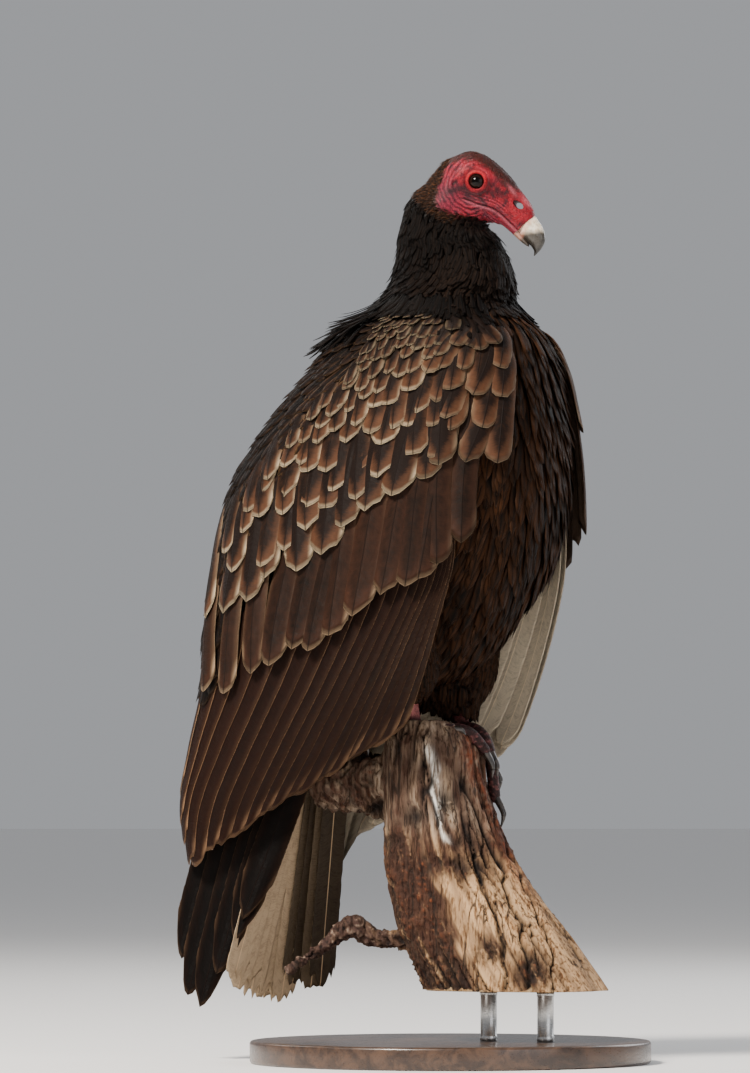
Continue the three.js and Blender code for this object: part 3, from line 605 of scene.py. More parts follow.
def head_paint(points):
    """Linear colours of the skin at world points, all from distances in the head's own frame."""
    s, h, left = to_head(points)
    places = np.stack([s, h, left], axis=-1)
    mask, fold = folds(s, h)
    mottle, fine = layered(places / 3.1, 31), layered(places / 1.1, 37)
    d = np.hypot(s, h)

    def spot(at_s, at_h, wide, high, turn=0.0):
        a, b = s - at_s, h - at_h
        c, e = a * math.cos(turn) + b * math.sin(turn), b * math.cos(turn) - a * math.sin(turn)
        return np.exp(-np.square(c / wide) - np.square(e / high))

    purple = ramp(-h, 2, 18) * ramp(-s, -10, 10)
    crown = ramp(h - np.interp(s, *CROWN_LINE.T) + 1.6 * noise(places / 2.4, 45), -11.5, -4.5)
    crown = crown * (1 - ramp(s, 24, 38))
    mouth, share = path_distance(s, h, MOUTH)
    below = ramp(-h - np.interp(s, [-4, 4, 18, 30, 49], [18, 16, 12.1, 11.4, 15.4]), -0.5, 0.6)
    over = hill(mouth - 5.2, 3.6) * (1 - below) * ramp(s, -8, 0) * (1 - ramp(s, 26, 36))
    fold_line = np.sin(TURN * mouth / 2.3 + 1.5 * fine + 0.09 * s)
    lip_highlight = ramp(share, 0.02, 0.3) * hill(mouth - 1.7, 1.3) * (0.25 + 0.75 * below)
    lit = 0.45 + 0.55 * np.cos(np.arctan2(h, s) - 2.2)
    nape = ramp(nape_depth(s, h) + 1.5 * noise(places / 3, 41), -2, 2.5)
    edge = face_edge(points) + 2.2 * noise(places / 3, 43)
    return painted(
        "6e0618",
        ("a51326", ramp(mottle, -0.5, 0.8)),
        ("300816", 0.8 * ramp(-mottle - 0.35 * fine, -0.15, 0.45)),
        # Pink on the crests of the folds round the eye is a painted highlight, and the dark in their grooves
        # is painted shade.
        ("c24a60", 0.45 * (mask * ramp(fold, 0.72, 1.0))),
        ("2c0a18", 0.95 * (mask * (1 - ramp(fold, 0.25, 0.85)))),
        ("4c1c30", 0.55 * purple * ramp(mottle, -0.7, 0.3)),
        ("38160f", crown * (0.8 + 0.2 * ramp(mottle, -0.6, 0.6))),
        ("22110d", crown * ramp(-fine, -0.2, 0.6) * 0.8),
        ("9c1828", ramp(s, 29, 38) * ramp(h, -11, -4) * 0.7),
        # Pale pink streaks along the top of the cere, over the nostril: painted highlights.
        ("dc7480", (spot(41, 7.5, 6, 1.6, -0.35) + spot(27, 9.5, 5, 1.5, -0.35)) * 0.55),
        ("2c0b18", 0.8 * over * ramp(fold_line, 0.1, 0.8)),
        ("b84a5c", 0.6 * over * ramp(-fold_line, 0.45, 0.95)),
        # Dark purple at each place of the table: painted shade in the face's hollows and creases.
        *(("220c15", 0.95 * spot(*at) * ramp(fine + 0.6 * mottle, -1.3, 0.0)) for at in PAINTED_HOLLOW_SHADE),
        # Pale pink along and under the mouth line: a painted highlight on the lip.
        ("b4606e", 0.6 * lip_highlight),
        ("2b0a12", ramp(share, 0.0, 0.1) * hill(mouth, 0.5)),
        ("8f4656", hill(h + 18.0, 3) * ramp(s, 8, 26) * 0.45),
        # The red lid ring is painted brighter on its lit upper back side: painted light; the pale red patch
        # over the eye is a painted highlight on the upper lid.
        ("b50f1c", hill(d - 7.6 - 1.2 * fine, 2.2) * np.clip(0.25 + lit, 0, 0.95)),
        ("c83446", spot(4, 9.5, 8.0, 2.6, -0.1) * 0.6),
        # Dark rings round the lid: painted shade in its groove and in the crease beyond, the crease darker on
        # the side away from the light.
        ("4a101c", hill(d - 9.6, 0.7) * 0.7 * ramp(fine, -0.9, 0.1)),
        ("240a10", hill(d - 10.4 - 0.8 * fine, 1.3) * np.clip(1.0 - 1.3 * lit, 0, 0.85)),
        ("1c0808", hill(d - 5.7, 0.5)),
        # Near-black painted in the ear opening and inside the nostril: painted shade in these hollows.
        ("1a0709", spot(-14.2, -10.2, 1.3, 3.2)),
        ("180506", 1 - ramp(nostril_measure(s, h), 0.85, 1.06)),
        ("33201a", nape),
        # Skin below the bare face's edge, under the feathers, is painted near-black: painted shade for the
        # gaps between the feathers.
        ("0e0a09", ramp(edge, -2.0, 1.0)))


def scutes(along, angle):
    """Radius factor of a scaly leg: 1 + 0.05 |sin| bands over the front half and small scales behind."""
    bands = np.abs(np.sin(along / 3.1 * math.pi)) ** 0.6
    small = np.abs(np.sin(along / 1.6 * math.pi + np.round(angle * 3) * 1.57)) ** 0.7
    small = small * np.abs(np.sin(angle * 6)) ** 0.4
    front = ramp(np.cos(angle), -0.1, 0.5)
    return 0.97 + 0.07 * (front * bands + (1 - front) * small)


def leg_bodies(side):
    """Closed tubes of one leg: thigh, shank and the four toes."""
    hip, knee, ankle, foot = LEGS[side]
    thigh = tube([hip, knee, ankle], [24, 18, 7.5], 32, 24, up=(0, -1, 0))
    shank = tube([knee, ankle, foot], [5.6, 5.9, 7.4], 40, 60, up=(0, -1, 0), shape=scutes)
    bodies = [capped(thigh), capped(shank)]
    for name, (toe, _) in TOES[side].items():
        radii = [6.4, 5.4, 5.0, 4.3, 2.9] if name != "back" else [6, 5.1, 4.4, 3.0]
        bodies.append(capped(tube(toe, radii, 32, 64, shape=scutes)))
    return bodies


def seam_safe(u):
    """Map places of each face's corners, with those past the seam moved on by a whole turn."""
    gap = u.max(axis=1, keepdims=True) - u.min(axis=1, keepdims=True) > 0.5
    return np.where(gap & (u < 0.5), u + 1.0, u)


def skin_body():
    """Points, faces, map places per corner and colours of the skin, its nostrils joined through the bill."""
    grid, nostril = with_relief(skin_grid())
    rows, cols = grid.shape[:2]
    points, (quads, fans) = capped(grid)
    inner = np.concatenate([nostril < 1.0, np.zeros((rows - HEAD_RINGS, cols), bool)]).ravel()
    lost = inner[quads].all(axis=1)
    column = quads % cols
    right = lost & (column.max(axis=1) < cols // 2)
    edges = np.stack([quads[right], np.roll(quads[right], -1, axis=1)], axis=-1).reshape(-1, 2)
    code = np.sort(edges, axis=1) @ np.array([len(points), 1])
    _, first, count = np.unique(code, return_index=True, return_counts=True)
    rim = edges[first[count == 1]]
    other = rim - rim % cols + (cols - rim % cols) % cols
    walls = np.concatenate([rim, other[:, ::-1]], axis=1)
    quads = np.concatenate([quads[~lost], walls])
    row, col = points_rows(len(points), rows, cols)
    tube_u = seam_safe(np.where(quads < rows * cols, col[quads], 0)) * 0.96 + 0.02
    bodies = [(points, [quads, fans])]
    fan_u = seam_safe(col[fans]) * 0.96 + 0.02
    maps = [np.stack([u, row[f]], -1).reshape(-1, 2) for u, f in ((tube_u, quads), (fan_u, fans))]
    for number, side in enumerate(("right", "left")):
        for part, (body, faces) in enumerate(leg_bodies(side)):
            bodies.append((body, faces))
            base = (0.02 + 0.16 * part, 0.86 + 0.07 * number)
            around = 32 if part != 1 else 40
            r, c = points_rows(len(body), (len(body) - 2) // around, around)
            for f in faces:
                u = base[0] + 0.14 * np.clip(seam_safe(c[f]), 0, 1)
                maps.append(np.stack([u, base[1] + 0.06 * (r[f] - 0.02) / 0.81], -1).reshape(-1, 2))
    paint = head_paint(points)
    points, faces = joined(bodies)
    legs = points[len(paint):]
    tone = layered(legs / 2.0, 51)
    leg_paint = painted(
        "b06a66", ("7d4747", ramp(tone, -0.4, 0.7)), ("d6a49a", ramp(layered(legs, 57), 0.35, 0.9) * 0.6),
        ("1f1210", 0.95 * ramp(-legs[:, 2], -279, -271) * ramp(tone, -1.2, 0.1)))
    paint = np.concatenate([paint, leg_paint])
    keep = np.zeros(len(points), bool)
    for f in faces:
        keep[f.ravel()] = True
    number = np.cumsum(keep) - 1
    return points[keep], [number[f] for f in faces], np.concatenate(maps), paint[keep]


def points_rows(count, rows, cols):
    """Row and column of each point of a capped grid as shares, the two cap middles in their end rows."""
    index = np.arange(count)
    row = np.minimum(index // cols, rows - 1).astype(float)
    row[rows * cols:] = [0, rows - 1][:count - rows * cols]
    col = (index % cols) / cols
    col[rows * cols:] = 0.5
    return 0.02 + 0.81 * row / (rows - 1), col


def skin_material():
    """Bare skin: painted colours broken by fine veins, with papilla bumps and a soft gloss."""
    grain, shine = 900.0, 0.48
    material, tree, shader = new_material(
        "Bare skin", Roughness=shine, Specular_IOR_Level=0.22, Subsurface_Weight=0.06, Subsurface_Scale=0.002,
        Coat_Weight=0.03, Coat_Roughness=0.35)
    shader.inputs["Subsurface Radius"].default_value = (1.0, 0.25, 0.15)
    fine = speckle(tree, place_of(tree), grain, 4.0, 0.6)
    broad = speckle(tree, place_of(tree), grain / 5.0, 3.0, 0.5, 0.6)
    into = {"Vector": place_of(tree), "Scale": grain * 0.8}
    cells = put(tree, "TexVoronoi", into=into, feature="DISTANCE_TO_EDGE")
    crease = mapped(tree, cells.outputs["Distance"], 0.0, 0.22)
    paint = attribute(tree, "Paint")
    darker = darkened(tree, paint, (0.52, 0.42, 0.45))
    colour = mixed(tree, mapped(tree, fine, 0.35, 0.62), darker, paint)
    patches = mapped(tree, broad, 0.6, 0.8, 0.0, 0.35)
    colour = mixed(tree, patches, colour, darkened(tree, paint, (0.4, 0.3, 0.34)))
    height, small = (math_node(tree, "MULTIPLY", *pair) for pair in ((crease, 0.7), (fine, 0.5)))
    height = math_node(tree, "ADD", height, small)
    rough = mapped(tree, broad, 0.3, 0.7, shine - 0.08, shine + 0.16)
    finish_material(tree, shader, colour, rough, height, 0.0005, 0.75)
    return material


def make_skin():
    """Adds the skin in place of every node of flesh."""
    points, faces, corners, paint = skin_body()
    nodes = ["head", "neck", "trunk"]
    for side in FACES:
        nodes += [f"thigh_{side}", f"shank_{side}"] + [f"toe_{side}_{toe}" for toe in TOES[side]]
    new_piece("skin", points, faces, skin_material(), "face_skin", nodes, {"OFBake": corners}, paint=paint)


# Bill, eyes and claws


def bill_rings(rows, around, steps, ridge):
    """Rings between a top and a bottom line in the head's middle plane, drawn up to a ridge along the top.

    A ring is middle + up C(a) + left w S(a) (1 - ridge max(0, cos a)^2).
    """
    rows = np.asarray(rows, float)
    table = np.column_stack([np.arange(len(rows)), rows])
    top_s, top_h, low_s, low_h, half = smooth(table, np.linspace(0, len(rows) - 1, steps)).T[..., None]
    angle = circle(around)
    rise, across = power(np.cos(angle), 2.15), power(np.sin(angle), 2.3)
    s = (top_s + low_s) / 2 + (top_s - low_s) / 2 * rise
    h = (top_h + low_h) / 2 + (top_h - low_h) / 2 * rise
    left = half * across * (1 - ridge * np.maximum(0, np.cos(angle)) ** 2)
    return s, h, left


def horn_material(name, dark):
    """Horn: painted ivory with fine lengthwise streaks, scratches and a worn satin gloss."""
    material, tree, shader = new_material(
        name, Roughness=0.34, Specular_IOR_Level=0.5, Coat_Weight=0.25, Coat_Roughness=0.2)
    paint = attribute(tree, "Paint")
    streak = speckle(tree, place_of(tree, (500.0, 140.0, 240.0)), 1.0, 4.0, 0.6, 0.4)
    spots = speckle(tree, place_of(tree), 420.0, 3.0, 0.6)
    colour = mixed(tree, mapped(tree, streak, 0.42, 0.7, 0.0, 0.6), paint, dark, "MULTIPLY")
    darker = tuple(0.7 * part for part in dark)
    colour = mixed(tree, mapped(tree, spots, 0.6, 0.75, 0.0, 0.5), colour, darker, "MULTIPLY")
    rough = mapped(tree, streak, 0.3, 0.7, 0.26, 0.48)
    finish_material(tree, shader, colour, rough, streak, 0.0003, 0.5)
    return material


def make_bill():
    """Adds the hooked upper bill and the lower bill."""
    horn = horn_material("Ivory horn", (0.52, 0.40, 0.27))
    # The last number of each row, shade, paints the lower bill darker throughout: painted shade under the
    # upper bill.
    for node, rows, ridge, seed, shade in (
            ("bill_upper", BILL_UPPER, 0.22, 61, 0.0), ("bill_lower", BILL_LOWER, 0.0, 67, 0.85)):
        s, h, left = bill_rings(rows, 96, 90, ridge)
        places = np.stack([s, h, left], axis=-1)
        lump = 0.16 * layered(places / 4.0, seed) + 0.05 * np.sin(TURN * (s + h) / 2.6) * ramp(s, 52, 58)
        points, faces = closed(in_world(s, h, left + np.sign(left) * lump))
        spots = np.moveaxis(to_head(points), 0, -1)
        s, h = spots[:, 0], spots[:, 1]
        grey = ramp(-h + 0.9 * (s - 60) + 1.4 * noise(spots / 3, 79), 5.0, 12.0)
        rim = 1 - ramp(s, 52.0, 55.0 + 1.2 * noise(spots / 2, 71))
        # The lowest edge of each half is painted near-black as well: painted shade beneath the bill.
        paint = painted(
            "efe4d2", ("dcc7a8", ramp(layered(spots / 2.5, seed + 1), -0.3, 0.8)), ("2b2722", grey * 0.97),
            ("120e0b", ramp(-h, 14.0, 21) * 0.8), ("4d4238", np.full(len(s), shade)), ("c98f7c", rim * 0.55))
        new_piece(f"{node}_horn", points, faces, horn, "bill_horn", [node], paint=paint)


def make_eyes():
    """Adds the eyeballs: a sphere about the sideways axis with a slight bulge over the iris."""
    material, tree, shader = new_material(
        "Eye", Roughness=0.08, Specular_IOR_Level=0.16, Coat_Weight=0.12, Coat_Roughness=0.02, IOR=1.38)
    veins = speckle(tree, place_of(tree), 2200.0, 2.0)
    share = mapped(tree, veins, 0.35, 0.7, 0.0, 0.5)
    colour = mixed(tree, share, attribute(tree, "Paint"), (0.004, 0.002, 0.001))
    finish_material(tree, shader, colour)
    polar, angle = np.linspace(0.015, math.pi - 0.015, 64)[:, None], circle(72)[None]
    radius = EYE_RADIUS * (1 + 0.03 * hill(polar, 0.45)) + 0 * angle
    s = radius * np.sin(polar) * np.cos(angle)
    h = radius * np.sin(polar) * np.sin(angle)
    for side, sign in (("left", 1.0), ("right", -1.0)):
        points, faces = closed(in_world(s, h, sign * (EYE_SPREAD + radius * np.cos(polar))))
        d = np.hypot(*to_head(points)[:2])
        paint = painted("020101", ("1d0d07", ramp(d, 3.3, 3.7)), ("0b0504", ramp(d, 4.4, 5.6)))
        new_piece(f"eyeball_{side}", points, faces, material, "eye", [f"eye_{side}"], paint=paint)


def make_claws():
    """Adds the eight claws: tubes that taper to a point along their curves, flattened beneath."""
    horn = horn_material("Claw horn", (0.010, 0.008, 0.007))

    def flattened(along, angle):
        return 1 - 0.12 * np.maximum(0, -np.cos(angle)) + 0 * along

    for side, toes in TOES.items():
        for name, (_, claw) in toes.items():
            points, faces = closed(tube(claw, [3.3, 2.3, 0.3], 28, 40, shape=flattened))
            paint = painted("3a3029", ("1a1512", ramp(layered(points / 3.0, 73), -0.4, 0.5)))
            node = f"claw_{side}_{name}"
            new_piece(f"claw_horn_{side}_{name}", points, faces, horn, "claw_horn", [node], paint=paint)


# Feathers


class Sheet:
    """A grid of points looked up at (f, v): f goes once round the columns in 0..1, v counts rows."""

    def __init__(self, grid):
        self.grid = grid
        self.rows, self.cols = grid.shape[:2]
        across = (np.roll(grid, -1, axis=1) - np.roll(grid, 1, axis=1)) / 2 * self.cols
        down = np.gradient(grid, axis=0)
        normal = normals_of(grid)
        out = grid - grid.mean(axis=1, keepdims=True)
        self.normal = normal if (normal * out).sum() > 0 else -normal
        self.pace = np.stack([np.linalg.norm(across, axis=-1), np.linalg.norm(down, axis=-1)], axis=-1)

    def look(self, table, f, v):
        """Value of a table of the grid's shape between its four nearest points."""
        x = (f % 1.0) * self.cols
        y = np.clip(v, 0.0, self.rows - 1.001)
        j, i = np.floor(x).astype(int), np.floor(y).astype(int)
        s, t = (x - j)[..., None], (y - i)[..., None]
        j, k = j % self.cols, (j + 1) % self.cols
        upper = table[i, j] * (1 - s) + table[i, k] * s
        return upper * (1 - t) + (table[i + 1, j] * (1 - s) + table[i + 1, k] * s) * t

    def at(self, table, spots):
        """Value of a table at rows of (f, v)."""
        return self.look(table, spots[:, 0], spots[:, 1])


def evened(grid, step):
    """The grid with rows about step apart on average, by walking along it."""
    gap = np.linalg.norm(np.diff(grid, axis=0), axis=-1).mean(axis=1)
    walk = np.concatenate([[0], np.cumsum(gap)])
    want = np.arange(0, walk[-1], step)
    i = np.clip(np.searchsorted(walk, want, side="right") - 1, 0, len(gap) - 1)
    t = ((want - walk[i]) / gap[i])[:, None, None]
    return grid[i] * (1 - t) + grid[i + 1] * t


def flat_sheet(corner, across, down, bulge=0.0):
    """A sheet corner + f across + t down, raised by bulge (1 - (2f - 1)^2) along their cross product."""
    f = (np.arange(64) / 64)[None, :, None]
    t = np.linspace(0, 1, 65)[:, None, None]
    corner, across, down = (np.asarray(a, float) for a in (corner, across, down))
    out = unit(np.cross(across, down))
    sheet = Sheet(corner + f * across + t * down + bulge * (1 - (2 * f - 1) ** 2) * out)
    sheet.normal = np.broadcast_to(out, sheet.grid.shape)
    pace = [np.linalg.norm(across), np.linalg.norm(down) / 64]
    sheet.pace = np.broadcast_to(pace, sheet.grid.shape[:2] + (2,))
    return sheet


def scatter(sheet, rows, along, across, jitter, rng):
    """Staggered places (f, v) between two rows of a sheet, about along x across mm apart, moved at random."""
    places, v, number = [], rows[0], 0
    while v < rows[1]:
        pace = sheet.pace[int(v)]
        count = max(3, int(pace[:, 0].mean() / across))
        f = (np.arange(count) + 0.5 * (number % 2)) / count
        places.append(np.column_stack([f, np.full(count, v)]))
        v += along / pace[:, 1].mean()
        number += 1
    places = np.concatenate(places)
    return places + jitter * (rng.random(places.shape) - 0.5) * [across, along] / sheet.at(sheet.pace, places)


def swung(sheet, root, angle, length):
    """Tips of vanes that leave their roots at an angle from straight down, towards rising f."""
    way = np.column_stack([np.sin(angle), np.cos(angle)])
    middle = root + 0.5 * way * length[:, None] / sheet.at(sheet.pace, root)
    return root + way * length[:, None] / sheet.at(sheet.pace, middle)


def kept(wanted, *arrays):
    """The wanted rows of each array."""
    return [array[wanted] for array in arrays]


def vanes(sheet, root, tip, width, rng, shape, lift, thick=0.35, narrow=0.35, point=2.4, edge=1.3, camber=0.1,
          tilt=0.3, curl=0.0, fray=0.5, jag=0.15, bend=0.0, full=0.45, shoulder=0.0, look=(), strips=None):
    """Closed feathers between roots and tips on a sheet, as two-sided grids of shape (along, across) points.

    For a in 0..1 and b in -1..1 a point lies s = a (length - half (point |b|^edge + shoulder |b|^7)) along
    and b half(s) across, at height lift + camber half (1 - b^2) + tilt b + curl s^4 over the sheet; half
    grows from narrow to full width. fray and jag roughen the tip and sides, bend moves the tip sideways, look
    holds tone, pale edge and its roughness, and strips is the first strip of the face map and their count.
    """
    n = len(root)
    rows, cols = shape
    width = np.broadcast_to(width, n)[:, None, None]
    low, high, point, tilt, curl, fray, bend = (
        np.reshape(value, (-1, 1, 1)) for value in (*lift, point, tilt, curl, fray, bend))
    a = np.linspace(0, 1, rows)[None, :, None]
    b = np.sin(np.linspace(-1, 1, cols) * math.pi / 2)[None, None]
    step = tip - root
    run = step * sheet.at(sheet.pace, root + 0.5 * step)
    length = np.linalg.norm(run, axis=1)[:, None, None]
    heading = run / length[:, 0]
    wear = fray * width * rng.random((n, 1, cols)) ** 2
    rounding = point * np.abs(b) ** edge + shoulder * np.abs(b) ** 7
    s = a * (length - 0.5 * width * rounding) - wear * a ** 6
    share = s / length
    half = width / 2 * (narrow + (1 - narrow) * (1 - (1 - np.clip(share / full, 0, 1)) ** 2))
    teeth = 1 - jag * rng.random((n, rows, 2)) * (np.arange(rows) > 1)[None, :, None]
    teeth = np.where(b < 0, teeth[:, :, :1], teeth[:, :, 1:]) ** (np.abs(b) ** 3)
    reach = b * half * teeth + bend * share ** 2
    f = root[:, :1, None] + step[:, :1, None] * share
    v = root[:, 1:, None] + step[:, 1:, None] * share
    pace = sheet.look(sheet.pace, f, v)
    f = f + heading[:, 1, None, None] * reach / pace[..., 0]
    v = v - heading[:, 0, None, None] * reach / pace[..., 1]
    base, normal = sheet.look(sheet.grid, f, v), sheet.look(sheet.normal, f, v)
    height = low + (high - low) * share + camber * half * (1 - b * b) + tilt * b + curl * share ** 4
    inner = (np.abs(b) < 1) & (a > 0) & (a < 1)
    body = np.where(inner, thick / 2 * (1 + 0.8 * hill(b * half, 0.7)), 0.0)
    upper, under = (base + normal * (height + sign * body)[..., None] for sign in (1, -1))
    top = np.arange(rows * cols).reshape(rows, cols)
    bottom = top.copy()
    bottom[1:-1, 1:-1] = rows * cols + np.arange((rows - 2) * (cols - 2)).reshape(rows - 2, cols - 2)
    quads = grid_faces(rows, cols, False)
    flat = bottom.ravel()
    template = np.concatenate([quads, flat[quads][:, ::-1]])
    under_u = np.repeat([0.0, 2.0], len(quads))[:, None]

    def whole(table):
        table = np.broadcast_to(table, (n, rows, cols))
        return np.concatenate([table.reshape(n, -1), table[:, 1:-1, 1:-1].reshape(n, -1)], axis=1)

    points = np.concatenate([upper.reshape(n, -1, 3), under[:, 1:-1, 1:-1].reshape(n, -1, 3)], axis=1)
    u, along = whole((b + 1) / 2), whole(a)
    number = rng.random((n, 1, 1))
    span = np.stack([whole(half), whole(length), whole(number)], axis=-1)
    faces = (template[None] + np.arange(n)[:, None, None] * points.shape[1]).reshape(-1, 4)
    vane = np.stack([u[:, template] + under_u, along[:, template]], axis=-1).reshape(-1, 2)
    if strips is None:
        spot = np.column_stack([root[:, 0] % 1.0, root[:, 1] / sheet.rows]) * 0.99 + 0.005
        local = np.stack([u[:, template] - 0.5, along[:, template] - 0.5], axis=-1)
        bake = spot[:, None, None] + 0.003 * local
    else:
        lane = (strips[0] + np.arange(n))[:, None, None] * 2 + (under_u > 0)
        lane_u = (lane + 0.1 + 0.8 * u[:, template]) / strips[1] / 2
        bake = np.stack([lane_u, 0.02 + 0.96 * along[:, template]], axis=-1)
    looks = np.column_stack([np.broadcast_to(part, n) for part in (*look, 1.0)])
    return {"points": points.reshape(-1, 3), "faces": faces, "vane": vane, "bake": bake.reshape(-1, 2),
            "span": span.reshape(-1, 3), "look": np.repeat(looks, points.shape[1], axis=0)}


def coat_piece(name, batches, material, slot, nodes):
    """One piece from batches of vanes."""
    first, faces = 0, []
    for batch in batches:
        faces.append(batch["faces"] + first)
        first += len(batch["points"])
    faces = np.concatenate(faces)
    whole = {key: np.concatenate([batch[key] for batch in batches]) for key in batches[0]}
    points = whole["points"]
    if outward(points, [faces])[0] is not faces:
        order = np.arange(faces.size).reshape(-1, 4)[:, ::-1].ravel()
        faces = faces[:, ::-1]
        whole["vane"], whole["bake"] = whole["vane"][order], whole["bake"][order]
    new_piece(name, points, [faces], material, slot, nodes, {"OFBake": whole["bake"], "Vane": whole["vane"]},
              {"Span": whole["span"], "Look": whole["look"]})


def vane_group():
    """Node group that colours a vane: a dark wedge along the shaft to the tip, brown sides, a pale rim.

    Distances are millimetres: to the edge (1 - |b|) half, to the tip (1 - a) length. Barbs slant outward.
    """
    group = bpy.data.node_groups.new("Vane", "ShaderNodeTree")
    for way, kind, titles in (
            ("INPUT", "Color", ("Dark", "Mid", "Edge", "Under", "Shaft")),
            ("INPUT", "Float", ("Edge width", "Barb", "Wedge", "Side rim")),
            ("OUTPUT", "Color", ("Color",)), ("OUTPUT", "Float", ("Height", "Roughness"))):
        for title in titles:
            group.interface.new_socket(name=title, in_out=way, socket_type="NodeSocket" + kind)
    inputs, out = group.nodes.new("NodeGroupInput").outputs, group.nodes.new("NodeGroupOutput")

    def times(*values):
        return math_node(group, "MULTIPLY", *values)

    def plus(*values):
        return math_node(group, "ADD", *values)

    def minus(*values, clamp=False):
        return math_node(group, "SUBTRACT", *values, clamp=clamp)

    def spread(*values):
        return mapped(group, *values)

    def vector(*values):
        return put(group, "CombineXYZ", *values).outputs[0]

    place = put(group, "SeparateXYZ", put(group, "UVMap", uv_map="Vane").outputs[0]).outputs
    span = put(group, "SeparateXYZ", attribute(group, "Span", "Vector")).outputs
    look = put(group, "SeparateColor", attribute(group, "Look")).outputs
    under = math_node(group, "GREATER_THAN", place[0], 1.5)
    side = times(math_node(group, "ABSOLUTE", minus(minus(place[0], times(under, 2.0)), 0.5)), 2.0)
    off = times(side, span[0])
    left = times(minus(1.0, place[1]), span[1])
    slant = minus(times(place[1], span[1]), times(off, 0.8))
    seed = times(span[2], 97.0)
    streak = speckle(group, vector(times(slant, 1.1), times(off, 0.16), seed), 1.0, 3.0, 0.6)
    blotch = speckle(group, vector(times(slant, 0.16), times(off, 0.2), seed), 1.0, 2.0, 0.5)
    wave, drift = minus(streak, 0.5), minus(blotch, 0.5)
    edge = math_node(group, "MINIMUM", minus(span[0], off), left)
    rough_edge = plus(edge, times(wave, times(look[2], 2.4)))
    rough_edge = math_node(group, "DIVIDE", rough_edge, spread(span[0], 3.0, 10.0, 0.4, 1.0))
    inside = plus(minus(side, spread(left, 1.0, 26.0, 0.02, 0.7)), times(wave, 0.22))
    core = spread(inside, -0.5, 0.36, 1.0, 0.0)
    tone = plus(plus(look[0], 0.15), plus(times(wave, 0.5), times(drift, 0.6)))
    tone = minus(tone, times(core, inputs["Wedge"]), clamp=True)
    colour = mixed(group, tone, inputs["Dark"], inputs["Mid"])
    near = spread(left, 4.0, 24.0, 1.0, 0.12)
    glow = times(times(spread(rough_edge, 0.0, 5.5, 0.6, 0.0), near), look[1])
    colour = mixed(group, glow, colour, inputs["Edge"])
    sides = spread(left, 6.0, 22.0, 0.0, 1.0)
    fade = minus(1.0, times(sides, minus(1.0, inputs["Side rim"])))
    rim = spread(rough_edge, times(inputs["Edge width"], 0.35), inputs["Edge width"], 1.0, 0.0)
    colour = mixed(group, times(times(rim, look[1]), fade), colour, inputs["Edge"])
    smear = spread(plus(streak, times(drift, 0.7)), 0.35, 0.9, 0.0, 0.42)
    below = mixed(group, smear, inputs["Under"], inputs["Mid"])
    # Undersides of vanes of low tone turn dark: the feathers' own dark colour, and on the tail the painted
    # shadow of the body.
    below = mixed(group, spread(look[0], 0.02, 0.2, 0.9, 0.0), below, inputs["Dark"])
    colour = mixed(group, under, colour, below)
    shaft = spread(off, 0.2, 0.62, 1.0, 0.0)
    white = mixed(group, under, inputs["Shaft"], darkened(group, inputs["Under"], (1.5, 1.45, 1.35)))
    colour = mixed(group, times(shaft, 0.8), colour, white)
    barbs = math_node(group, "SINE", times(slant, math_node(group, "DIVIDE", TURN, inputs["Barb"])))
    height = plus(times(barbs, 0.28), times(streak, 0.9))
    height = plus(height, times(shaft, 0.8))
    group.links.new(colour, out.inputs["Color"])
    group.links.new(height, out.inputs["Height"])
    group.links.new(mapped(group, streak, 0.3, 0.7, 0.46, 0.7), out.inputs["Roughness"])
    return group


# Feather finishes: [dark part, mid part, edge, underside and shaft colours, edge width, barb spacing, gloss,
# how dark the wedge is, how much of the rim the sides keep]
PLUMES = {
    "Ruff feathers": ("020202", "1d130d", "2a1e17", "060505", "040303", 0.4, 0.8, 0.07, 0.2, 0.3),
    "Breast feathers": ("070402", "38200f", "5c4130", "120b08", "0a0604", 0.5, 0.9, 0.07, 0.35, 0.3),
    "Mantle feathers": ("060302", "2e1a10", "a98157", "1c120c", "0d0705", 0.6, 0.9, 0.1, 0.5, 0.8),
    "Wing coverts": ("140b07", "543624", "ecd6b0", "55463b", "120a07", 1.0, 0.9, 0.1, 0.78, 0.12),
    "Greater coverts": ("0e0805", "3a2318", "d8b892", "55463b", "120a07", 0.9, 0.9, 0.08, 0.4, 0.3),
    "Flight feathers": ("060302", "200f08", "a88262", "d2c3aa", "120805", 0.6, 1.1, 0.06, 0.3, 0.7),
    "Tail feathers": ("150d09", "3a281b", "d0b28a", "c4aa8a", "e2d4bc", 0.9, 1.2, 0.12, 0.2, 0.8),
}


def plume_material(name):
    """A feather finish: the vane group's colours with its barbs as bump and a low gloss."""
    *colours, edge_width, barb, gloss, wedge, side_rim = PLUMES[name]
    material, tree, shader = new_material(name, Roughness=0.6, Specular_IOR_Level=gloss)
    group = bpy.data.node_groups.get("Vane") or vane_group()
    values = (*(linear(code) for code in colours), edge_width, barb, wedge, side_rim)
    out = put(tree, "Group", *values, node_tree=group).outputs
    finish_material(tree, shader, out["Color"], out["Roughness"], out["Height"], 0.0006, 0.6)
    return material


def coat_sheet():
    """The skin without its fine relief, in even rows of 3 mm, and a function from height to row."""
    grid = evened(skin_grid(), 3.0)
    level = grid[:, :, 2].mean(axis=1)
    body = level < 650
    rows = np.arange(len(grid))
    return Sheet(grid), lambda z: np.interp(-np.asarray(z, float), -level[body], rows[body])


def seeded(number):
    """A repeatable random source that follows the plumage seed."""
    return np.random.default_rng(1000 * bpy.context.scene.vulture_plumage.seed + number)


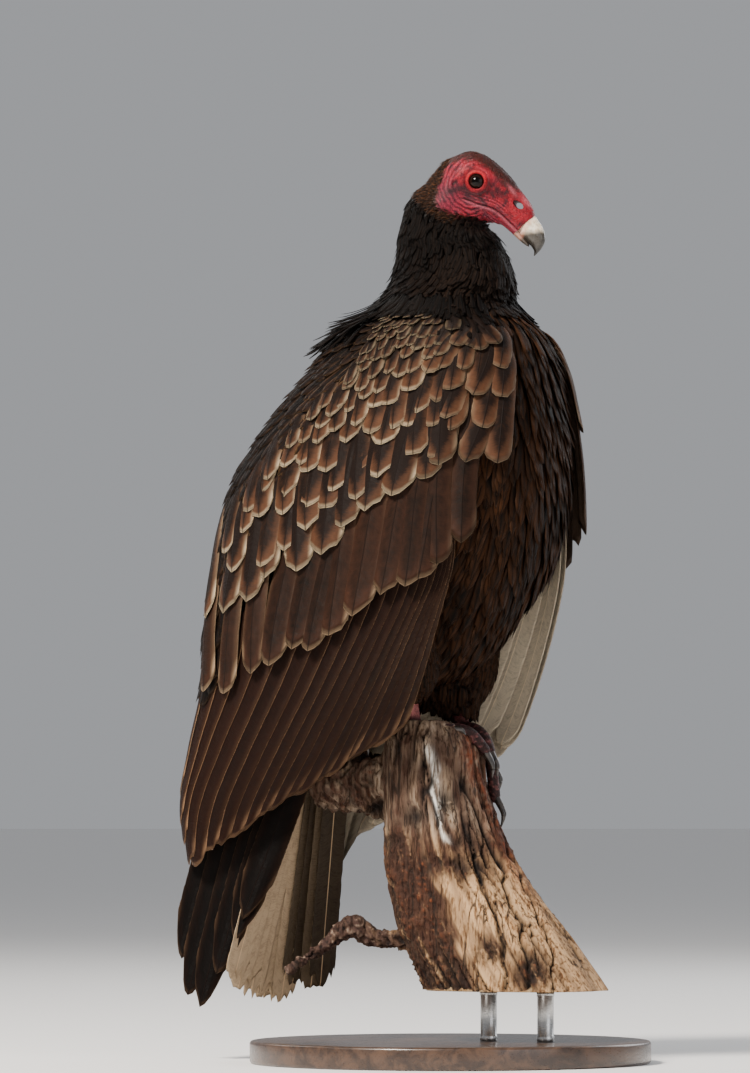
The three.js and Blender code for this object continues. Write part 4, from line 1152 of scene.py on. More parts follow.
def lay_neck(sheet, row_at, wings, down_to, material, wear):
    """Neck ruff: narrow spiky plumes that lengthen down the neck, and a collar of them over the shoulders."""
    rng = seeded(1)
    root = scatter(sheet, (22, float(row_at(582))), 3.4, 3.8, 1.0, rng)
    place = sheet.at(sheet.grid, root)
    edge = face_edge(place)
    lowest = np.interp(place[:, 1], [-45, -10, 25, 60, 85], [602, 604, 600, 586, 580])
    throat = ramp(-place[:, 1], 8, 26) * ramp(place[:, 2], 612, 630)
    wanted = (edge > 0.3 - 5.0 * throat) & (place[:, 2] > lowest)
    root, place, edge, throat = kept(wanted, root, place, edge, throat)
    low = ramp(edge, 0, 55)
    n = len(root)
    length = (13 + 11 * low) * (0.75 + 0.5 * rng.random(n))
    behind = np.sin(root[:, 0] * TURN)
    angle = 0.45 * (rng.random(n) - 0.5) + 0.28 * behind * ramp(place[:, 2], 690, 610)
    spiky = rng.random(n)
    brown = ramp(-place[:, 1], -30, 15) * ramp(-place[:, 2], -655, -620)
    tip = swung(sheet, root, angle, length)
    lift = (0.4 + 5.0 * throat * ramp(edge, -4, 1) + 2.2 * ramp(edge, 0, 16),
            2.4 + 2.4 * low + 4.5 * throat + 1.6 * spiky ** 3)
    neck = vanes(
        sheet, root, tip, 3.8 + 1.8 * low, rng, (7, 4), lift, thick=0.22, point=2.8, edge=1.2, camber=0.05,
        tilt=0.0, curl=3.0 * spiky ** 6, fray=0.5 * wear, jag=0.14,
        look=(0.02 + 0.3 * rng.random(n) ** 2 + brown * (0.4 + 0.3 * rng.random(n)), 0.2, 0.8))
    n = 460
    root = np.column_stack([0.5 + 0.8 * (rng.random(n) - 0.5), down_to(585 + 27 * rng.random(n))])
    off = np.abs(root[:, 0] - 0.5)
    root[:, 1] = np.where((off > 0.17) & (off < 0.31), down_to(604 + 8 * rng.random(n)), root[:, 1])
    spiky = rng.random(n) * np.where(off < 0.18, 1.0, 0.4)
    angle = 0.4 * (rng.random(n) - 0.5)
    tip = swung(wings, root, angle, 22 + 8 * (off < 0.17) + 16 * spiky)
    collar = vanes(
        wings, root, tip, 5.0, rng, (9, 4), (0.0, 2.5 + 7.0 * spiky ** 2), thick=0.4, narrow=0.4, point=3.4,
        camber=0.12, curl=7.0 * spiky ** 2, fray=0.5 * wear, jag=0.12, look=(0.3 * rng.random(n), 0.15, 0.8))
    coat_piece("neck_feathers", [neck, collar], material, "ruff_feathers", ["neck"])


def lay_breast(sheet, row_at, material, wear, rng):
    """Breast, belly and flanks: loose feathers that stand off further down the body."""
    root = scatter(sheet, (float(row_at(611)), float(row_at(306))), 9.4, 7.4, 1.0, rng)
    place = sheet.at(sheet.grid, root)
    front = np.abs((root[:, 0] + 0.5) % 1.0 - 0.5)
    wanted = front < np.interp(place[:, 2], [380, 410, 560, 600], [0.5, 0.30, 0.29, 0.26])
    root, place, front = kept(wanted, root, place, front)
    n = len(root)
    side = np.sign((root[:, 0] + 0.5) % 1.0 - 0.5)
    length = 30 + 16 * rng.random(n)
    angle = 0.30 * (rng.random(n) - 0.5) + 0.25 * side * ramp(front, 0.0, 0.2)
    loose = rng.random(n)
    lower, upper = ramp(-place[:, 2], -560, -340), ramp(place[:, 2], 585, 606)
    shade = 0.15 + 0.6 * rng.random(n) ** 1.5 + 0.3 * noise(place / 30.0, 151)
    breast = vanes(
        sheet, root, swung(sheet, root, angle, length), 7.0 + 4.0 * rng.random(n), rng, (7, 5),
        (1.0, 6.5 - 4.0 * upper + 2.5 * loose ** 2 + 2.0 * lower), thick=0.4, camber=0.14, tilt=0.4,
        curl=1.5 * loose ** 4, fray=0.5 * wear, jag=0.16, bend=5 * (rng.random(n) - 0.5),
        look=(shade, 0.15 + 0.3 * rng.random(n) + (rng.random(n) < 0.05), 1.0))
    coat_piece("breast_feathers", [breast], material, "body_feathers", ["trunk"])


def lay_legs(material, rng):
    """Trousers of both legs, and a flat veil of loose plumes that hangs between them."""
    legs = []
    for side in FACES:
        hip, knee, ankle, foot = LEGS[side]
        path, radii = [hip, knee, ankle], [30, 24, 9.5]
        if side == "left":
            path, radii = [hip, knee, ankle, foot], [30, 25, 15, 11]
        thigh = Sheet(evened(tube(path, radii, 48, 60, up=(0, -1, 0)), 2.0))
        root = scatter(thigh, (4, thigh.rows - 9), 5.0, 5.0, 1.0, rng)
        n = len(root)
        tip = swung(thigh, root, 0.3 * (rng.random(n) - 0.5), 14 + 8 * rng.random(n))
        look = (0.1 + 0.4 * rng.random(n), 0.2, 1.0)
        legs.append(vanes(thigh, root, tip, 6.0, rng, (6, 4), (0.5, 3.2), look=look))
    veil = flat_sheet((10.0, -14.0, 352.0), (-16.0, 62.0, 0.0), (0.0, 0.0, -80.0), 6.0)
    n = 260
    root = np.column_stack([0.02 + 0.96 * rng.random(n), 44 * rng.random(n) ** 0.7])
    floor = 58 + 9 * rng.random(n)
    size = np.minimum(22 + 18 * rng.random(n), (floor - root[:, 1]) * 80 / 64)
    legs.append(vanes(
        veil, root, swung(veil, root, 0.4 * (rng.random(n) - 0.5), size), 7.0, rng, (9, 4),
        (-6.0 + 12 * rng.random(n), -6.0 + 12 * rng.random(n)), look=(0.1 + 0.3 * rng.random(n), 0.2, 1.0)))
    coat_piece("leg_feathers", legs, material, "body_feathers", ["thigh_left", "thigh_right"])


def lay_mantle(wings, down_to, material, wear):
    """Mantle: rounded feathers over the back between the wings, browner and pale-edged at its sides."""
    rng = seeded(3)
    root = scatter(wings, (float(down_to(612)), float(down_to(330))), 9.5, 8.0, 0.8, rng)
    place = wings.at(wings.grid, root)
    across, wide = np.abs(root[:, 0] - 0.5), mantle_width(place[:, 2])
    root, place, across, wide = kept(across < wide, root, place, across, wide)
    n = len(root)
    size = ramp(-place[:, 2], -612, -500)
    outer = ramp(across / wide, 0.6, 0.9) * ramp(-place[:, 2], -585, -530) * ramp(place[:, 2], 400, 460)
    side = np.sign(0.5 - root[:, 0])
    sweep = side * 0.55 * ramp(across, 0.06, 0.24) * ramp(place[:, 2], 430, 520)
    angle = 0.14 * (rng.random(n) - 0.5) + sweep
    tip = swung(wings, root, angle, (20 + 28 * size) * (0.85 + 0.3 * rng.random(n)))
    mantle = vanes(
        wings, root, tip, 8.5 + 4.5 * size, rng, (8, 5),
        (-5.0 + 2.0 * outer, -1.0 + 2.5 * rng.random(n) + 1.5 * outer), thick=0.4, narrow=0.3, point=1.2,
        edge=1.6, camber=0.2, tilt=0.6 * side, fray=0.2 * wear, jag=0.06, shoulder=0.3,
        look=(0.02 + 0.12 * rng.random(n) + 0.5 * outer * (0.3 + 0.7 * rng.random(n)),
              0.12 + outer * (0.2 + 0.6 * rng.random(n)), 0.9))
    coat_piece("mantle_feathers", [mantle], material, "body_feathers", ["trunk"])


def make_body_coat():
    """Adds the neck ruff, breast, belly, back and thigh feathers."""
    wear = bpy.context.scene.vulture_plumage.wear
    sheet, row_at = coat_sheet()
    wings, down_to = wing_sheet()
    ruff, down, cape = (plume_material(f"{name} feathers") for name in ("Ruff", "Breast", "Mantle"))
    lay_neck(sheet, row_at, wings, down_to, ruff, wear)
    rng = seeded(2)
    lay_breast(sheet, row_at, down, wear, rng)
    lay_legs(down, rng)
    lay_mantle(wings, down_to, cape, wear)


def mantle_width(z):
    """Share of the way round the body, to each side of the spine, that the mantle covers at a height."""
    levels = [330, 400, 450, 500, 540, 575, 600, 612]
    return np.interp(z, levels, [0.13, 0.14, 0.165, 0.205, 0.235, 0.235, 0.2, 0.19])


def wing_sheet():
    """The folded wings' outer shape in even rows 3 mm apart, and a function from height to row."""
    rings = level_rings(WING_LEVELS, np.arange(616.0, 40.0, -3.0), 1024)
    even = []
    for ring in np.concatenate([rings, rings[:, :1]], axis=1):
        walk = walked(ring)
        even.append([np.interp(np.arange(256) / 256 * walk[-1], walk, ring[:, k]) for k in range(3)])
    return Sheet(np.moveaxis(np.array(even), 1, 2)), lambda z: (616.0 - np.asarray(z, float)) / 3.0


def wing_place(sheet, y, z, sign):
    """(f, v) on the side of the wing sheet at depth y and height z; sign -1 is the right wing."""
    v = (616.0 - z) / 3.0
    f = np.linspace(0.01, 0.49, 160)
    depth = sheet.look(sheet.grid[..., 1:2], f[None], v[:, None])[..., 0]
    k = np.clip((depth < y[:, None]).sum(axis=1), 1, len(f) - 1)
    rows = np.arange(len(y))
    before, after = depth[rows, k - 1], depth[rows, k]
    share = np.clip((y - before) / np.maximum(after - before, 1e-6), 0, 1)
    f = f[k - 1] + share * (f[1] - f[0])
    return np.column_stack([f if sign < 0 else 1.0 - f, v])


# Rows of wing coverts, the long ones first: [rise over the tip line, length, width, spacing, tone, pale edge]
COVERT_ROWS = [
    [0, 118, 29, 20, 0.5, 0.6], [66, 100, 31, 22.5, 0.5, 0.9], [89, 70, 31, 22.5, 0.6, 1],
    [112, 60, 29, 21, 0.62, 1], [133, 52, 26, 18.5, 0.62, 1], [151, 45, 22, 15.5, 0.55, 0.9],
    [166, 38, 18.5, 13, 0.42, 0.6], [179, 32, 15.5, 11, 0.32, 0.45], [190, 27, 13.2, 9.5, 0.25, 0.4],
    [199, 23, 11.6, 8.4, 0.16, 0.36], [207, 20, 10.4, 7.5, 0.1, 0.34],
    *[[214 + 5 * k, 16, 9.4, 6.8, 0.05, 0.3] for k in range(15)],
]
# Line of the longest coverts' tips, [depth, height], and the wing's front edge, [height, depth]
COVERT_TIPS = {
    "right": [(-100, 424), (-92, 422), (-38, 396), (66, 334), (150, 294), (230, 284)],
    "left": [(-100, 424), (-82, 418), (-30, 388), (66, 334), (150, 294), (230, 284)],
}
WING_FRONT = {
    "right": [[380, -38], [409, -57], [430, -72], [471, -76], [492, -80], [512, -78], [530, -75], [556, -77],
              [585, -61], [603, -20], [612, 20]],
    "left": [[380, -86], [424, -91], [480, -92], [530, -86], [570, -72], [590, -54], [606, -20], [612, 20]],
}


def make_wing_coat():
    """Adds the rows of coverts on both wings."""
    wear = bpy.context.scene.vulture_plumage.wear
    material, plain = plume_material("Wing coverts"), plume_material("Greater coverts")
    sheet, _ = wing_sheet()
    for number, (side, sign) in enumerate(FACES.items()):
        rng = seeded(10 + number)
        line, rim = np.array(COVERT_TIPS[side], float), np.array(WING_FRONT[side], float)
        batches = []
        for order, (rise, length, width, spacing, tone, pale) in enumerate(COVERT_ROWS):
            walk = np.arange(0.0, 350.0, spacing) + spacing * 0.5 * (order % 2)
            y = np.interp(walk, [0, 118, 350], [-98, -10, 222])
            z = np.interp(y, *line.T) + rise
            n = len(y)
            y = y + spacing * 0.4 * (rng.random(n) - 0.5)
            z = z + spacing * 0.75 * (rng.random(n) - 0.5)
            top = np.interp(y, [-60, -25, 0, 20, 60], [572, 580, 592, 591, 583])
            back = sheet.look(sheet.grid[..., 1:2], np.full(n, 0.5), (616 - z) / 3)[:, 0]
            y, z = kept((z < top) & (y > np.interp(z, *rim.T)) & (y < back - 12), y, z)
            at = wing_place(sheet, y, z, sign)
            y, z = kept(np.abs(at[:, 0] - 0.5) > mantle_width(z) - 0.03, y, z)
            n = len(y)
            if not n:
                continue
            lean = np.interp(y, [-90, 0, 100, 190], [0.06, 0.14, 0.18, 0.08]) + 0.22 * (rng.random(n) - 0.5)
            forward, rearward = ramp(-y, -10, 50), ramp(y, 60, 160)
            size = length * (0.93 + 0.14 * rng.random(n)) * (1 - 0.2 * forward * (order > 1))
            tip = wing_place(sheet, y, z, sign)
            slope = np.clip(3.0 / sheet.at(sheet.pace, tip)[:, 1], 0.3, 1.0) if length < 50 else 1.0
            root_z = np.minimum(z + size * np.cos(lean) * slope, 611.0)
            root_y = np.maximum(y - size * np.sin(lean), np.interp(root_z, *rim.T) - 3)
            root = wing_place(sheet, root_y, root_z, sign)
            shade = tone * (1 - 0.2 * forward) + 0.14 * forward * (order > 0) + 0.2 * (rng.random(n) - 0.5)
            shade = shade - 0.4 * forward * ramp(z, 548, 575)
            pale_here = pale * (1 - 0.85 * forward) * (0.65 + 0.45 * rng.random(n))
            if order == 0:
                pale_here = pale_here + 0.35 * ramp(y, 140, 180)
            shape = (17, 9) if length > 55 else (11, 7) if length > 28 else (7, 5)
            wide = width * (1 - 0.2 * rearward - 0.2 * forward) * (0.9 + 0.2 * rng.random(n))
            batches.append(vanes(
                sheet, root, tip, wide, rng, shape, (-2.0, 1.8 + 1.6 * rng.random(n)), thick=0.5,
                point=0.5 + 0.25 * rearward + 0.3 * rng.random(n), camber=0.26, tilt=0.8 * sign,
                fray=0.10 * wear, jag=0.035, bend=sign * 2.0, shoulder=0.45, look=(shade, pale_here, 0.6)))
        for name, some, finish in (("covert", batches[1:], material), ("greater_covert", batches[:1], plain)):
            coat_piece(f"{name}_feathers_{side}", some, finish, "body_feathers", [f"wing_{side}_coverts"])


# Secondaries: outermost and innermost root [depth, height], and the line of the tips [share, depth, height]
SECONDARIES = {
    "right": ([(-42, 432), (182, 352)],
              [(0, 12, 256), (0.28, 76, 224), (0.56, 146, 187), (0.82, 205, 150), (0.91, 213, 172),
               (1, 214, 214)]),
    "left": ([(-66, 428), (178, 350)],
             [(0, -12, 246), (0.28, 70, 207), (0.56, 138, 170), (0.82, 200, 146), (0.91, 209, 168),
              (1, 212, 210)]),
}
# Broad vanes inside the front of each folded wing: root and tip [depth, height]
INNER_VANES = {
    "right": [[-22, 420, 34, 250], [-4, 414, 56, 240]],
    "left": [[-64, 424, -11, 249], [-44, 418, 13, 254], [-24, 412, 36, 244]],
}
# Tips of the primaries: [depth, height]
PRIMARY_TIPS = {
    "right": [(158, 112), (166, 96), (184, 68), (201, 41), (213, 50), (219, 80)],
    "left": [(138, 142), (146, 126), (160, 96), (178, 60), (192, 66), (201, 90)],
}


# Shape that the long stiff feathers share
STIFF = {"thick": 0.7, "edge": 1.7, "camber": 0.05, "full": 0.25}


def make_flights():
    """Adds the secondaries and primaries of both wings and the tail feathers."""
    wear = bpy.context.scene.vulture_plumage.wear
    material = plume_material("Flight feathers")
    sheet, _ = wing_sheet()
    for number, (side, sign) in enumerate(FACES.items()):
        rng = seeded(20 + number)
        (first, last), tips = SECONDARIES[side]
        n, strips = 20, 29
        t = np.linspace(0, 1, n)
        where, deep, high = np.array(tips, float).T
        y, z = np.interp(t, where, deep), np.interp(t, where, high)
        z = z + 5.0 * (rng.random(n) - 0.5)
        root_y = first[0] + (last[0] - first[0]) * t ** 2.06
        root_z = first[1] + (last[1] - first[1]) * t
        root, tip = wing_place(sheet, root_y, root_z, sign), wing_place(sheet, y, z, sign)
        secondaries = vanes(
            sheet, root, tip, np.interp(t, [0, 0.7, 1], [31, 29, 25]), rng, (56, 13),
            (-7.5 + 5.0 * t, -7.0 + 7.0 * t), **STIFF, narrow=0.45, point=0.7 + 0.4 * t, tilt=1.0 * sign,
            fray=(0.06 + 0.22 * t ** 3) * wear, jag=0.03, bend=-sign * 4.0, shoulder=0.35,
            look=(0.25 + 0.6 * t ** 2 + 0.2 * rng.random(n), 0.1 + 0.35 * rng.random(n) + 0.4 * t ** 2, 0.75),
            strips=(0, strips))
        ends = np.array(PRIMARY_TIPS[side], float)
        k = np.arange(len(ends))
        turn = -sign
        corner = (sign * 60.0, -100.0 if sign < 0 else 300.0, 400.0)
        blade = flat_sheet(corner, (0, 400.0 * turn, 0), (-sign * 12.0, 0, -400.0))
        base = np.column_stack([94.0 + 14.0 * k, 268.0 + 0 * k])

        def on_blade(spots):
            f = (spots[:, 0] - corner[1]) / (400.0 * turn)
            return np.column_stack([f, (400.0 - spots[:, 1]) / 400.0 * 64])

        primaries = vanes(
            blade, on_blade(base), on_blade(ends), 29.0, rng, (60, 13), (-1.6 * k, -2.0 * k),
            **{**STIFF, "full": 0.2}, narrow=0.5, point=2.6, tilt=-0.8 * sign, fray=0.14 * wear, jag=0.04,
            bend=-sign * 3.0, look=(0.04 + 0.08 * rng.random(len(k)), 0.16, 0.7), strips=(n, strips))
        inner = np.array(INNER_VANES[side], float)
        base, end = (wing_place(sheet, inner[:, k], inner[:, k + 1], sign) for k in (0, 2))
        lift = -10.0 - 1.5 * np.arange(len(inner))
        inside = vanes(
            sheet, base, end, 31.0, rng, (48, 11), (lift, lift), **{**STIFF, "edge": 2.0, "camber": -0.05},
            narrow=0.45, point=1.0, tilt=0.0, fray=0.2 * wear, jag=0.04, look=(0.6, 0.7, 0.8),
            strips=(n + 6, strips))
        coat_piece(f"flight_feathers_{side}", [secondaries, primaries, inside], material, "flight_feathers",
                   [f"wing_{side}_secondaries", f"wing_{side}_primaries"])
    make_tail(wear)


def make_tail(wear):
    """Twelve tail feathers fanned over each other, the middle ones on top."""
    rng = seeded(30)
    material = plume_material("Tail feathers")
    root_point, tip_point = np.array([0.0, 112.0, 318.0]), np.array([0.0, 164.0, 50.0])
    along = unit(tip_point - root_point)
    twist = math.radians(-24.0)
    out = unit(np.cross([math.cos(twist), math.sin(twist), 0.0], along))
    across = np.cross(along, out)
    wide, long = 200.0, 300.0
    sheet = flat_sheet(root_point - across * wide / 2, across * wide, along * long, 10.0)
    k = np.arange(12) - 5.5
    place = k / 5.5
    fan = np.radians(-place * 6.5)
    length = 275.0 * (1 - 0.05 * place ** 2) - 16.0 * rng.random(12) ** 1.5
    start = np.column_stack([16.0 * place, 4.0 + 0 * k])
    end = start + np.column_stack([-np.sin(fan), np.cos(fan)]) * length[:, None]
    root, tip = (
        np.column_stack([0.5 + spots[:, 0] / wide, spots[:, 1] / long * 64]) for spots in (start, end))
    height = -10.0 - 1.25 * np.abs(k)
    # Feathers on one side of the fan get a tone near nothing, which paints their undersides dark: painted
    # shadow of the body over that side of the tail.
    feathers = vanes(
        sheet, root, tip, 27.0, rng, (60, 15), (height, height + 1.0), **{**STIFF, "edge": 2.6}, narrow=0.4,
        point=0.9, tilt=0.7, fray=0.50 * wear, jag=0.06,
        look=(np.where(place < 0.4, 0.4, 0.02) + 0.05 * rng.random(12), 0.6, 1.0), strips=(0, 12))
    coat_piece("tail_feathers", [feathers], material, "flight_feathers", ["tail"])


# Bristles


def spikes(place, heading, length, radius, spot):
    """Closed three-sided bristles that thin to a drooping tip, each mapped on a patch at its spot."""
    n = len(place)
    side = unit(np.cross(heading, [0.31, 0.87, 0.38]))
    over = np.cross(heading, side)
    angle = circle(3)
    ring = side[:, None] * np.cos(angle)[None, :, None] + over[:, None] * np.sin(angle)[None, :, None]
    droop = np.zeros((n, 1, 3))
    droop[..., 2] = -0.18 * length[:, None]
    low = place[:, None] + ring * radius[:, None, None]
    middle = place[:, None] + heading[:, None] * (0.55 * length)[:, None, None]
    middle = middle + ring * (0.75 * radius)[:, None, None]
    tip = place[:, None] + heading[:, None] * length[:, None, None] + droop
    points = np.concatenate([low, middle, tip], axis=1)
    sides = np.array([[0, 1, 4], [0, 4, 3], [1, 2, 5], [1, 5, 4], [2, 0, 3], [2, 3, 5], [3, 4, 6], [4, 5, 6],
                      [5, 3, 6], [0, 2, 1]])
    faces = (sides[None] + 7 * np.arange(n)[:, None, None]).reshape(-1, 3)
    local = np.array([[0, 0], [0.5, 0], [1, 0], [0, 0.5], [0.5, 0.5], [1, 0.5], [0.5, 1]])
    bake = (spot[:, None, None] + 0.003 * (local[sides][None] - 0.5)).reshape(-1, 2)
    return points.reshape(-1, 3), faces, bake


def make_bristles():
    """Adds the short brown bristles of the nape and the stubble of the crown and face."""
    rng = seeded(40)
    grid = skin_grid()
    normal = normals_of(grid)
    n = 26000
    f, v = rng.random(n), rng.random(n) * (HEAD_RINGS - 2)
    sheet = Sheet(grid[:HEAD_RINGS])
    place = sheet.look(sheet.grid, f, v)
    out = unit(sheet.look(normal[:HEAD_RINGS], f, v))
    s, h, left = to_head(place)
    edge = face_edge(place)
    wild = noise(np.stack([s, h, left], axis=-1) / 3.0, 41)
    nape = ramp(nape_depth(s, h) + 2.0 * wild, -2.5, 2.5) * (edge < 4)
    behind = ramp(-edge, -8.0, -4.0) * (1 - ramp(-edge, 2.0, 7.0)) * ramp(-s, -22, -4)
    crown = ramp(h, 9, 15) * (1 - ramp(s, 6, 30)) * (np.hypot(s, h) > 12)
    cover = np.maximum(np.maximum(nape, behind), 0.42 * crown)
    area = sheet.look((sheet.pace[..., :1] * sheet.pace[..., 1:]), f, v)[:, 0]
    wanted = rng.random(n) < cover * np.clip(area / np.percentile(area, 85), 0, 1) * 1.3
    place, out, thick, f, v = kept(wanted, place, out, np.maximum(nape, behind), f, v)
    n = len(place)
    back = -HEAD_AXES[0] * 0.8 - HEAD_AXES[1] * 0.5
    back = unit(back - (out @ back)[:, None] * out)
    heading = unit(0.5 * out + back + 0.35 * (rng.random((n, 3)) - 0.5))
    length = (1.6 + 4.6 * thick) * (0.6 + 0.8 * rng.random(n))
    spot = np.column_stack([f * 0.99 + 0.005, v / HEAD_RINGS * 0.99 + 0.005])
    points, faces, bake = spikes(place - 0.2 * out, heading, length, 0.13 + 0.15 * thick, spot)
    paint = painted("1a0f0a", ("6a4228", np.repeat(rng.random(n), 7) ** 1.3))
    material, tree, shader = new_material("Bristles", Roughness=0.65, Specular_IOR_Level=0.2)
    grain = speckle(tree, place_of(tree), 600.0, 3.0)
    colour = mixed(tree, mapped(tree, grain, 0.35, 0.65), (0.012, 0.008, 0.006), attribute(tree, "Paint"))
    finish_material(tree, shader, colour)
    new_piece("head_bristles", points, outward(points, [faces]), material, "ruff_feathers", ["head"],
              {"OFBake": bake}, paint=paint)


# Perch and stand

# Height of the limb's cut foot, just over the tops of the rods
LIMB_FOOT = 58.3
# Sections of the limb: [height, middle depth, half width, half depth], then lines of [across, depth, height]
LIMB = [[58, -56, 58, 74], [100, -30, 56, 69], [126, -16, 54, 62], [155, -3, 52, 54], [189, 6, 50, 45],
        [226, 12, 48, 39], [249, 13, 46, 37], [260, 14, 43.5, 33.5], [273, 15, 38, 28]]
KNOB = [(0, 14, 214), (-8, 52, 222), (-20, 84, 223), (-27, 110, 222)]
# Long splits of the limb: distances along its face at heights 94 and 210
SPLITS = [(41, 8), (60, 20), (80, 32)]
TWIG = [(-14, 20, 96), (-18, 58, 100), (-24, 76, 108), (-32, 92, 96), (-44, 124, 72)]


def limb_top(x, y):
    """Height of the limb's broken top: a ridge, level wood at 260 beside it, and a fall to the front."""
    along, away = 0.454 * x - 0.891 * y, -(-0.891 * x - 0.454 * y)
    bed = np.interp(away, [-27, -23, -21, -15], [275, 273, 269, 260])
    fall = np.interp(along, [-2, 2, 14, 24, 34, 60], [276, 273, 266, 254, 232, 214])
    return np.minimum(bed, fall)


def limb_rings():
    """Limb as closed rings: level sections of the table, with the top drawn down to limb_top."""
    around = 300
    levels = np.linspace(58.6, 273, 150)
    grow = np.concatenate([np.linspace(0.02, 1, 14)[:-1], np.ones(150), np.linspace(1, 0.02, 40)[1:]])
    heights = np.concatenate([np.full(13, 58.6), levels, np.full(39, 273.0)])
    middle, half, deep = smooth(LIMB, heights).T[..., None]
    angle = circle(around)
    up = heights[:, None]
    ridge = 1 + 0.03 * np.sin(5 * angle + up / 70) + 0.02 * np.sin(9 * angle - up / 50)
    x = half * ridge * power(np.cos(angle), 2.2) * grow[:, None]
    y = middle + deep * ridge * power(np.sin(angle), 2.2) * grow[:, None]
    z = np.minimum(heights[:, None], limb_top(x, y))
    return np.stack([x, y, z], axis=-1)


def fused(bodies, voxel):
    """One even surface round closed bodies, from a voxel remesh: points and faces in millimetres."""
    points, faces = joined(bodies)
    mesh = bpy.data.meshes.new("fused")
    mesh.from_pydata((points * 0.001).tolist(), [], [row for f in faces for row in f.tolist()])
    source = bpy.data.objects.new("fused", mesh)
    bpy.context.scene.collection.objects.link(source)
    remesh = source.modifiers.new("Remesh", "REMESH")
    remesh.mode, remesh.voxel_size = "VOXEL", voxel * 0.001
    result = bpy.data.meshes.new_from_object(source.evaluated_get(bpy.context.evaluated_depsgraph_get()))
    count = len(result.vertices)
    place, normal = np.empty(count * 3), np.empty(count * 3)
    result.vertices.foreach_get("co", place)
    result.vertex_normals.foreach_get("vector", normal)
    loops = np.empty(len(result.loops), int)
    result.loops.foreach_get("vertex_index", loops)
    sizes = np.empty(len(result.polygons), int)
    result.polygons.foreach_get("loop_total", sizes)
    starts = np.concatenate([[0], np.cumsum(sizes)[:-1]])
    faces = [loops[starts[sizes == k][:, None] + np.arange(k)] for k in (3, 4) if (sizes == k).any()]
    bpy.data.objects.remove(source)
    for old in (mesh, result):
        bpy.data.meshes.remove(old)
    return place.reshape(-1, 3) * 1000, normal.reshape(-1, 3), faces


